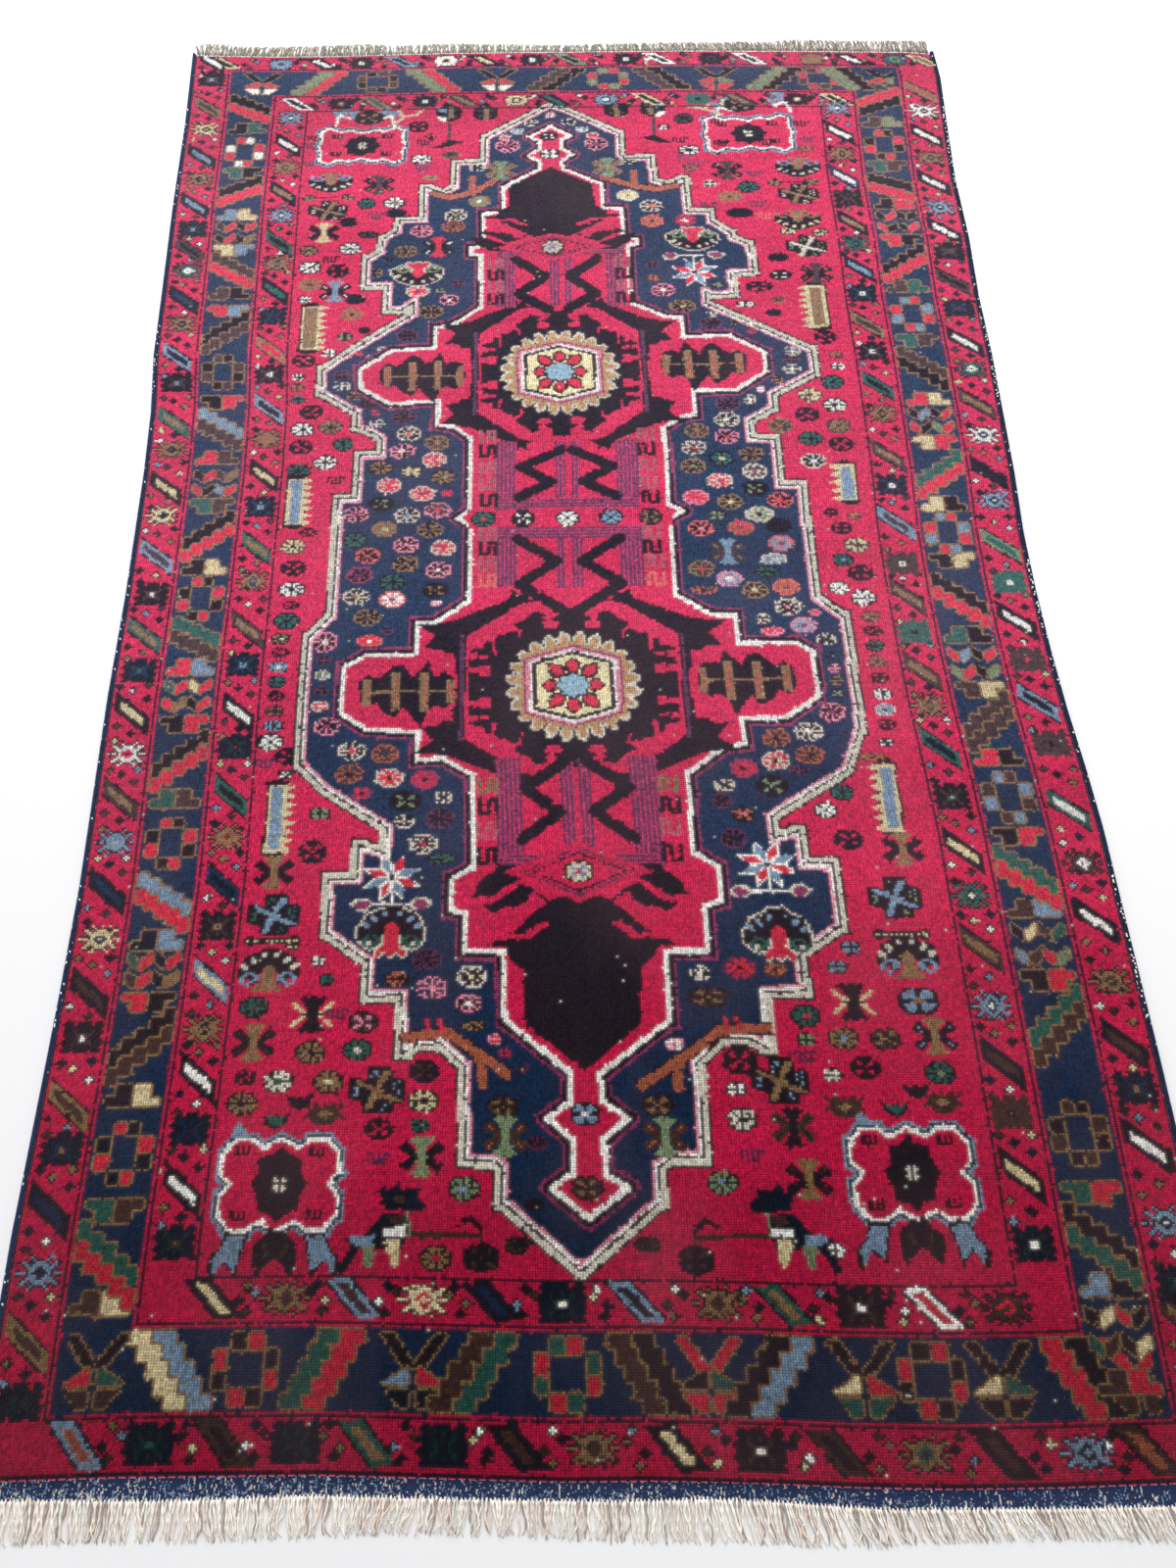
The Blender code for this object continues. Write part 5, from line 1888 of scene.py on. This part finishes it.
def make_fringe(name, table, shift, tips, leans, count, steps_along, material, letters):
    """A row of yarns across one end, hanging a few together."""
    shares = (np.arange(count) + 0.5) / count
    u, v = row_of(table, shares, shift)
    u = u + rng.normal(0, 0.5, count)
    together = np.repeat(rng.normal(0.0, 2.4, count // 3 + 1), 3)[:count]
    lean = side_at(leans, u) + together + rng.normal(0.0, 1.4, count)
    aim = side_at(tips, u)
    reach = np.clip(aim + rng.normal(0.0, 1.3, count), aim - 2.2, aim + 1.4)
    all_points, all_quads, all_colours, all_places, used = [], [], [], [], 0
    for i in range(count):
        letter = letters[int(rng.integers(len(letters)))]
        tone = PALETTE[LETTERS.index(letter)] * rng.normal(1.0, 0.06)
        # Darker yarns lie low under the clean ones: their darker dye is dust and painted shade
        lift = LOOSE_LIFT if letter in "FI" else FLAT_LIFT
        for path, radius in strand_paths((u[i], v[i]), (u[i] + lean[i], reach[i]), lift, steps_along):
            points, quads = tube(path, radius)
            row, column = np.divmod(np.arange(len(quads)), PLY_SIDES)
            all_places.append(corner_places(row, column * 0.5))
            all_points.append(points)
            all_quads.append(quads + used)
            all_colours.append(np.repeat(tone[None], len(quads), axis=0))
            used += len(points)
    return new_piece(name, np.concatenate(all_points), np.concatenate(all_quads), material,
                     np.concatenate(all_colours), np.concatenate(all_places), smooth=True)


def make_knots(name, table, shift, count, size, material):
    """The small knots that lock the end of the weave."""
    shares = (np.arange(count) + 0.5) / count
    u, v = row_of(table, shares, shift)
    u = u + rng.normal(0, 0.25, count)
    v = v + rng.normal(0, 0.35, count)
    around, up = 6, 4
    turn = np.arange(around) * 2 * math.pi / around
    rise = np.linspace(-0.45, 1.35, up)
    points, quads, colours = [], [], []
    top = (up - 1) * around
    ring = np.array([(r * around + c, r * around + (c + 1) % around,
                      (r + 1) * around + (c + 1) % around, (r + 1) * around + c)
                     for r in range(up - 1) for c in range(around)]
                    + [[top + corner for corner in cap] for cap in ((0, 1, 2, 3), (0, 3, 4, 5))])
    cotton = PALETTE[LETTERS.index("F")][None]
    for i in range(count):
        wide, deep, high = size * rng.normal(1.0, 0.1, 3) * np.array([0.82, 1.9, 0.75])
        flat = np.cos(rise)[:, None]
        x = u[i] + np.cos(turn)[None] * flat * wide
        y = v[i] + np.sin(turn)[None] * flat * deep
        z = np.broadcast_to(0.0019 + np.sin(rise)[:, None] * high * MM, x.shape)
        points.append(world(x, y, z).reshape(-1, 3))
        quads.append(ring + i * around * up)
        colours.append(np.repeat(cotton * rng.normal(1.0, 0.06), len(ring), axis=0))
    return new_piece(name, np.concatenate(points), np.concatenate(quads), material,
                     np.concatenate(colours), smooth=True)


CORNER_ACROSS = 640.0       # where the overcast edges' ends are read from the tables


def make_selvedge(name, side, table, material, flecks, inner_letter):
    """Warps overcast with wool: slanted wraps laid side by side round a flat core."""
    corner = side * CORNER_ACROSS
    start = side_at(NEAR_BAND_EDGE, corner) + 1.0
    stop = side_at(FAR_PILE_EDGE, corner) + FAR_BAND_WIDTH - 1
    wraps = int((stop - start) / WRAP)
    rings = wraps * 2 + 1
    v = np.linspace(start, stop, rings)
    arc = np.linspace(math.pi, 0.0, ARC_STEPS)
    ridge = (np.arange(rings) % 2)[:, None]
    swell = 0.84 + 0.16 * ridge + rng.normal(0, 0.012, (rings, 1))
    half = EDGE_INSET / 2
    slant = np.cos(arc)[None] * WRAP * 0.9
    along = v[:, None] + slant * side
    centre = side_at(table, along) - side * half
    u = centre + np.cos(arc)[None] * side * -half * swell
    z = 0.0004 + np.sin(arc)[None] ** 0.8 * (EDGE_HEIGHT - 0.0006) * swell
    points = world(u, along, z).reshape(-1, 3)
    quads = grid_quads(rings, ARC_STEPS)
    if side < 0:
        quads = quads[:, ::-1]
    row, column = np.divmod(np.arange(len(quads)), ARC_STEPS - 1)
    letters = np.full(len(quads), LETTERS.index("U" if side < 0 else "H"))
    wrap = row // 2
    white = rng.random(wraps + 1) < flecks * (0.4 + 1.2 * (np.sin(np.arange(wraps + 1) / 31.0) > 0.2))
    spot = rng.integers(1, ARC_STEPS - 2, wraps + 1)
    letters[white[wrap] & (np.abs(column - spot[wrap]) < 1)] = LETTERS.index("F")
    letters[(column < 2) & (rng.random(len(quads)) < 0.8)] = LETTERS.index(inner_letter)
    colours = PALETTE[letters] * rng.normal(1.0, 0.12, (wraps + 1, 1))[wrap]
    return new_piece(name, points, quads, material, colours, corner_places(row, column), smooth=True)


wool = pile_material()
yarn = yarn_material("fringe_cotton", twist=0.5)
band_wool = yarn_material("band_wool")
edge_wool = yarn_material("edge_wool", sheen=0.1)
pile = lay_pile(wool)
foundation = make_foundation(back_material())
bands = [
    make_band("band_near", NEAR_BAND_EDGE, (NEAR_PILE_EDGE, -0.2), (NEAR_BAND_EDGE, 0.0), band_wool,
              near_band_letters),
    make_band("band_far", FAR_PILE_EDGE, (FAR_PILE_EDGE, 0.2), (FAR_PILE_EDGE, FAR_BAND_WIDTH), band_wool,
              far_band_letters),
]
fringes = [
    make_fringe("fringe_yarns_near", NEAR_BAND_EDGE, 1.2, NEAR_TIPS, NEAR_LEAN, 500, 10, yarn, "FFFIQ"),
    make_fringe("fringe_yarns_far", FAR_PILE_EDGE, FAR_BAND_WIDTH - 1.2, FAR_TIPS, FAR_LEAN, 640, 6, yarn,
                "qqQ"),
]
locks = [
    make_knots("root_knots_near", NEAR_BAND_EDGE, 0.9, 306, 1.6, yarn),
    make_knots("root_knots_far", FAR_PILE_EDGE, FAR_BAND_WIDTH - 2.0, 250, 1.35, yarn),
]
edges = [
    make_selvedge("edge_left", -1, LEFT_SIDE, edge_wool, 0.14, "X"),
    make_selvedge("edge_right", 1, RIGHT_SIDE, edge_wool, 0.34, "H"),
]

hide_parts("rug_body")
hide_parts("fringe_near")
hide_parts("fringe_far")
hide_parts("selvedge_left")
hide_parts("selvedge_right")
for slot, pieces in (
    ("pile", pile + [foundation]), ("fringe", fringes + locks), ("selvedge", edges + bands),
):
    for piece in pieces:
        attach(piece, "root")

# The room: a pale floor, soft light from above, and the photograph's angle
FLOOR_REACH = 8.0           # metres from the rug's middle
FLOOR_LINES = 41
FLOOR_LEVEL = -0.0002       # just under the rug


def make_floor():
    """A pale, faintly mottled floor."""
    n = Nodes("pale_floor", 0.85)
    place = n.node("ShaderNodeTexCoord", output=3)
    tone = n.noise(place, 1.3, 4.0, 0.5)
    grain = n.noise(place, 240.0, 3.0, 0.6)
    shade = n.maths("MULTIPLY", n.ramp(tone, 0.3, 0.7, 0.97, 1.0), n.ramp(grain, 0.3, 0.7, 0.985, 1.0))
    material = n.finish(n.shade((0.93, 0.925, 0.92), shade), grain, 0.0002, 0.15)
    side = np.linspace(-FLOOR_REACH, FLOOR_REACH, FLOOR_LINES)
    x, y = np.meshgrid(side, side)
    points = np.stack([x, y, np.full_like(x, FLOOR_LEVEL)], axis=-1).reshape(-1, 3)
    return new_piece("floor", points, grid_quads(FLOOR_LINES, FLOOR_LINES), material)


def add_light(name, place, target, size, power, colour):
    """A rectangular soft light at a place, turned toward a target."""
    light = bpy.data.lights.new(name, "AREA")
    light.shape = "RECTANGLE"
    light.size, light.size_y = size
    light.energy = power
    light.color = colour
    lamp = bpy.data.objects.new(name, light)
    lamp.location = place
    lamp.rotation_euler = (Vector(target) - Vector(place)).to_track_quat("-Z", "Y").to_euler()
    bpy.context.scene.collection.objects.link(lamp)


make_floor()
add_light("soft_above", (0.3, 1.3, 3.2), (0.0, 0.6, 0.0), (3.4, 3.4), 74.0, (1.0, 0.99, 0.97))
add_light("soft_far", (-0.5, 4.2, 2.4), (0.0, 0.8, 0.0), (3.6, 2.2), 150.0, (1.0, 1.0, 1.0))
room = bpy.data.worlds.new("pale_room")
room.use_nodes = True
sky = room.node_tree.nodes["Background"].inputs
sky["Color"].default_value = (0.93, 0.95, 1.0, 1.0)
sky["Strength"].default_value = 0.52
bpy.context.scene.world = room
bpy.context.scene.view_settings.view_transform = "Standard"

# The camera's place and the three directions of its picture
EYE = (0.0072, -0.7788, 1.2274)
RIGHT = Vector((0.99937, -0.03212, -0.01511))
UP = Vector((0.03541, 0.93230, 0.35996))
FORWARD = Vector((-0.00252, 0.36027, -0.93285))
camera = bpy.data.cameras.new("photo_camera")
camera.sensor_fit = "VERTICAL"
camera.sensor_height = 36.0
camera.lens = 23.625
camera.clip_start = 0.05
eye = bpy.data.objects.new("photo_camera", camera)
turn = Matrix((RIGHT, UP, -FORWARD)).transposed()
eye.matrix_world = Matrix.Translation(EYE) @ turn.to_4x4()
bpy.context.scene.collection.objects.link(eye)
bpy.context.scene.camera = eye
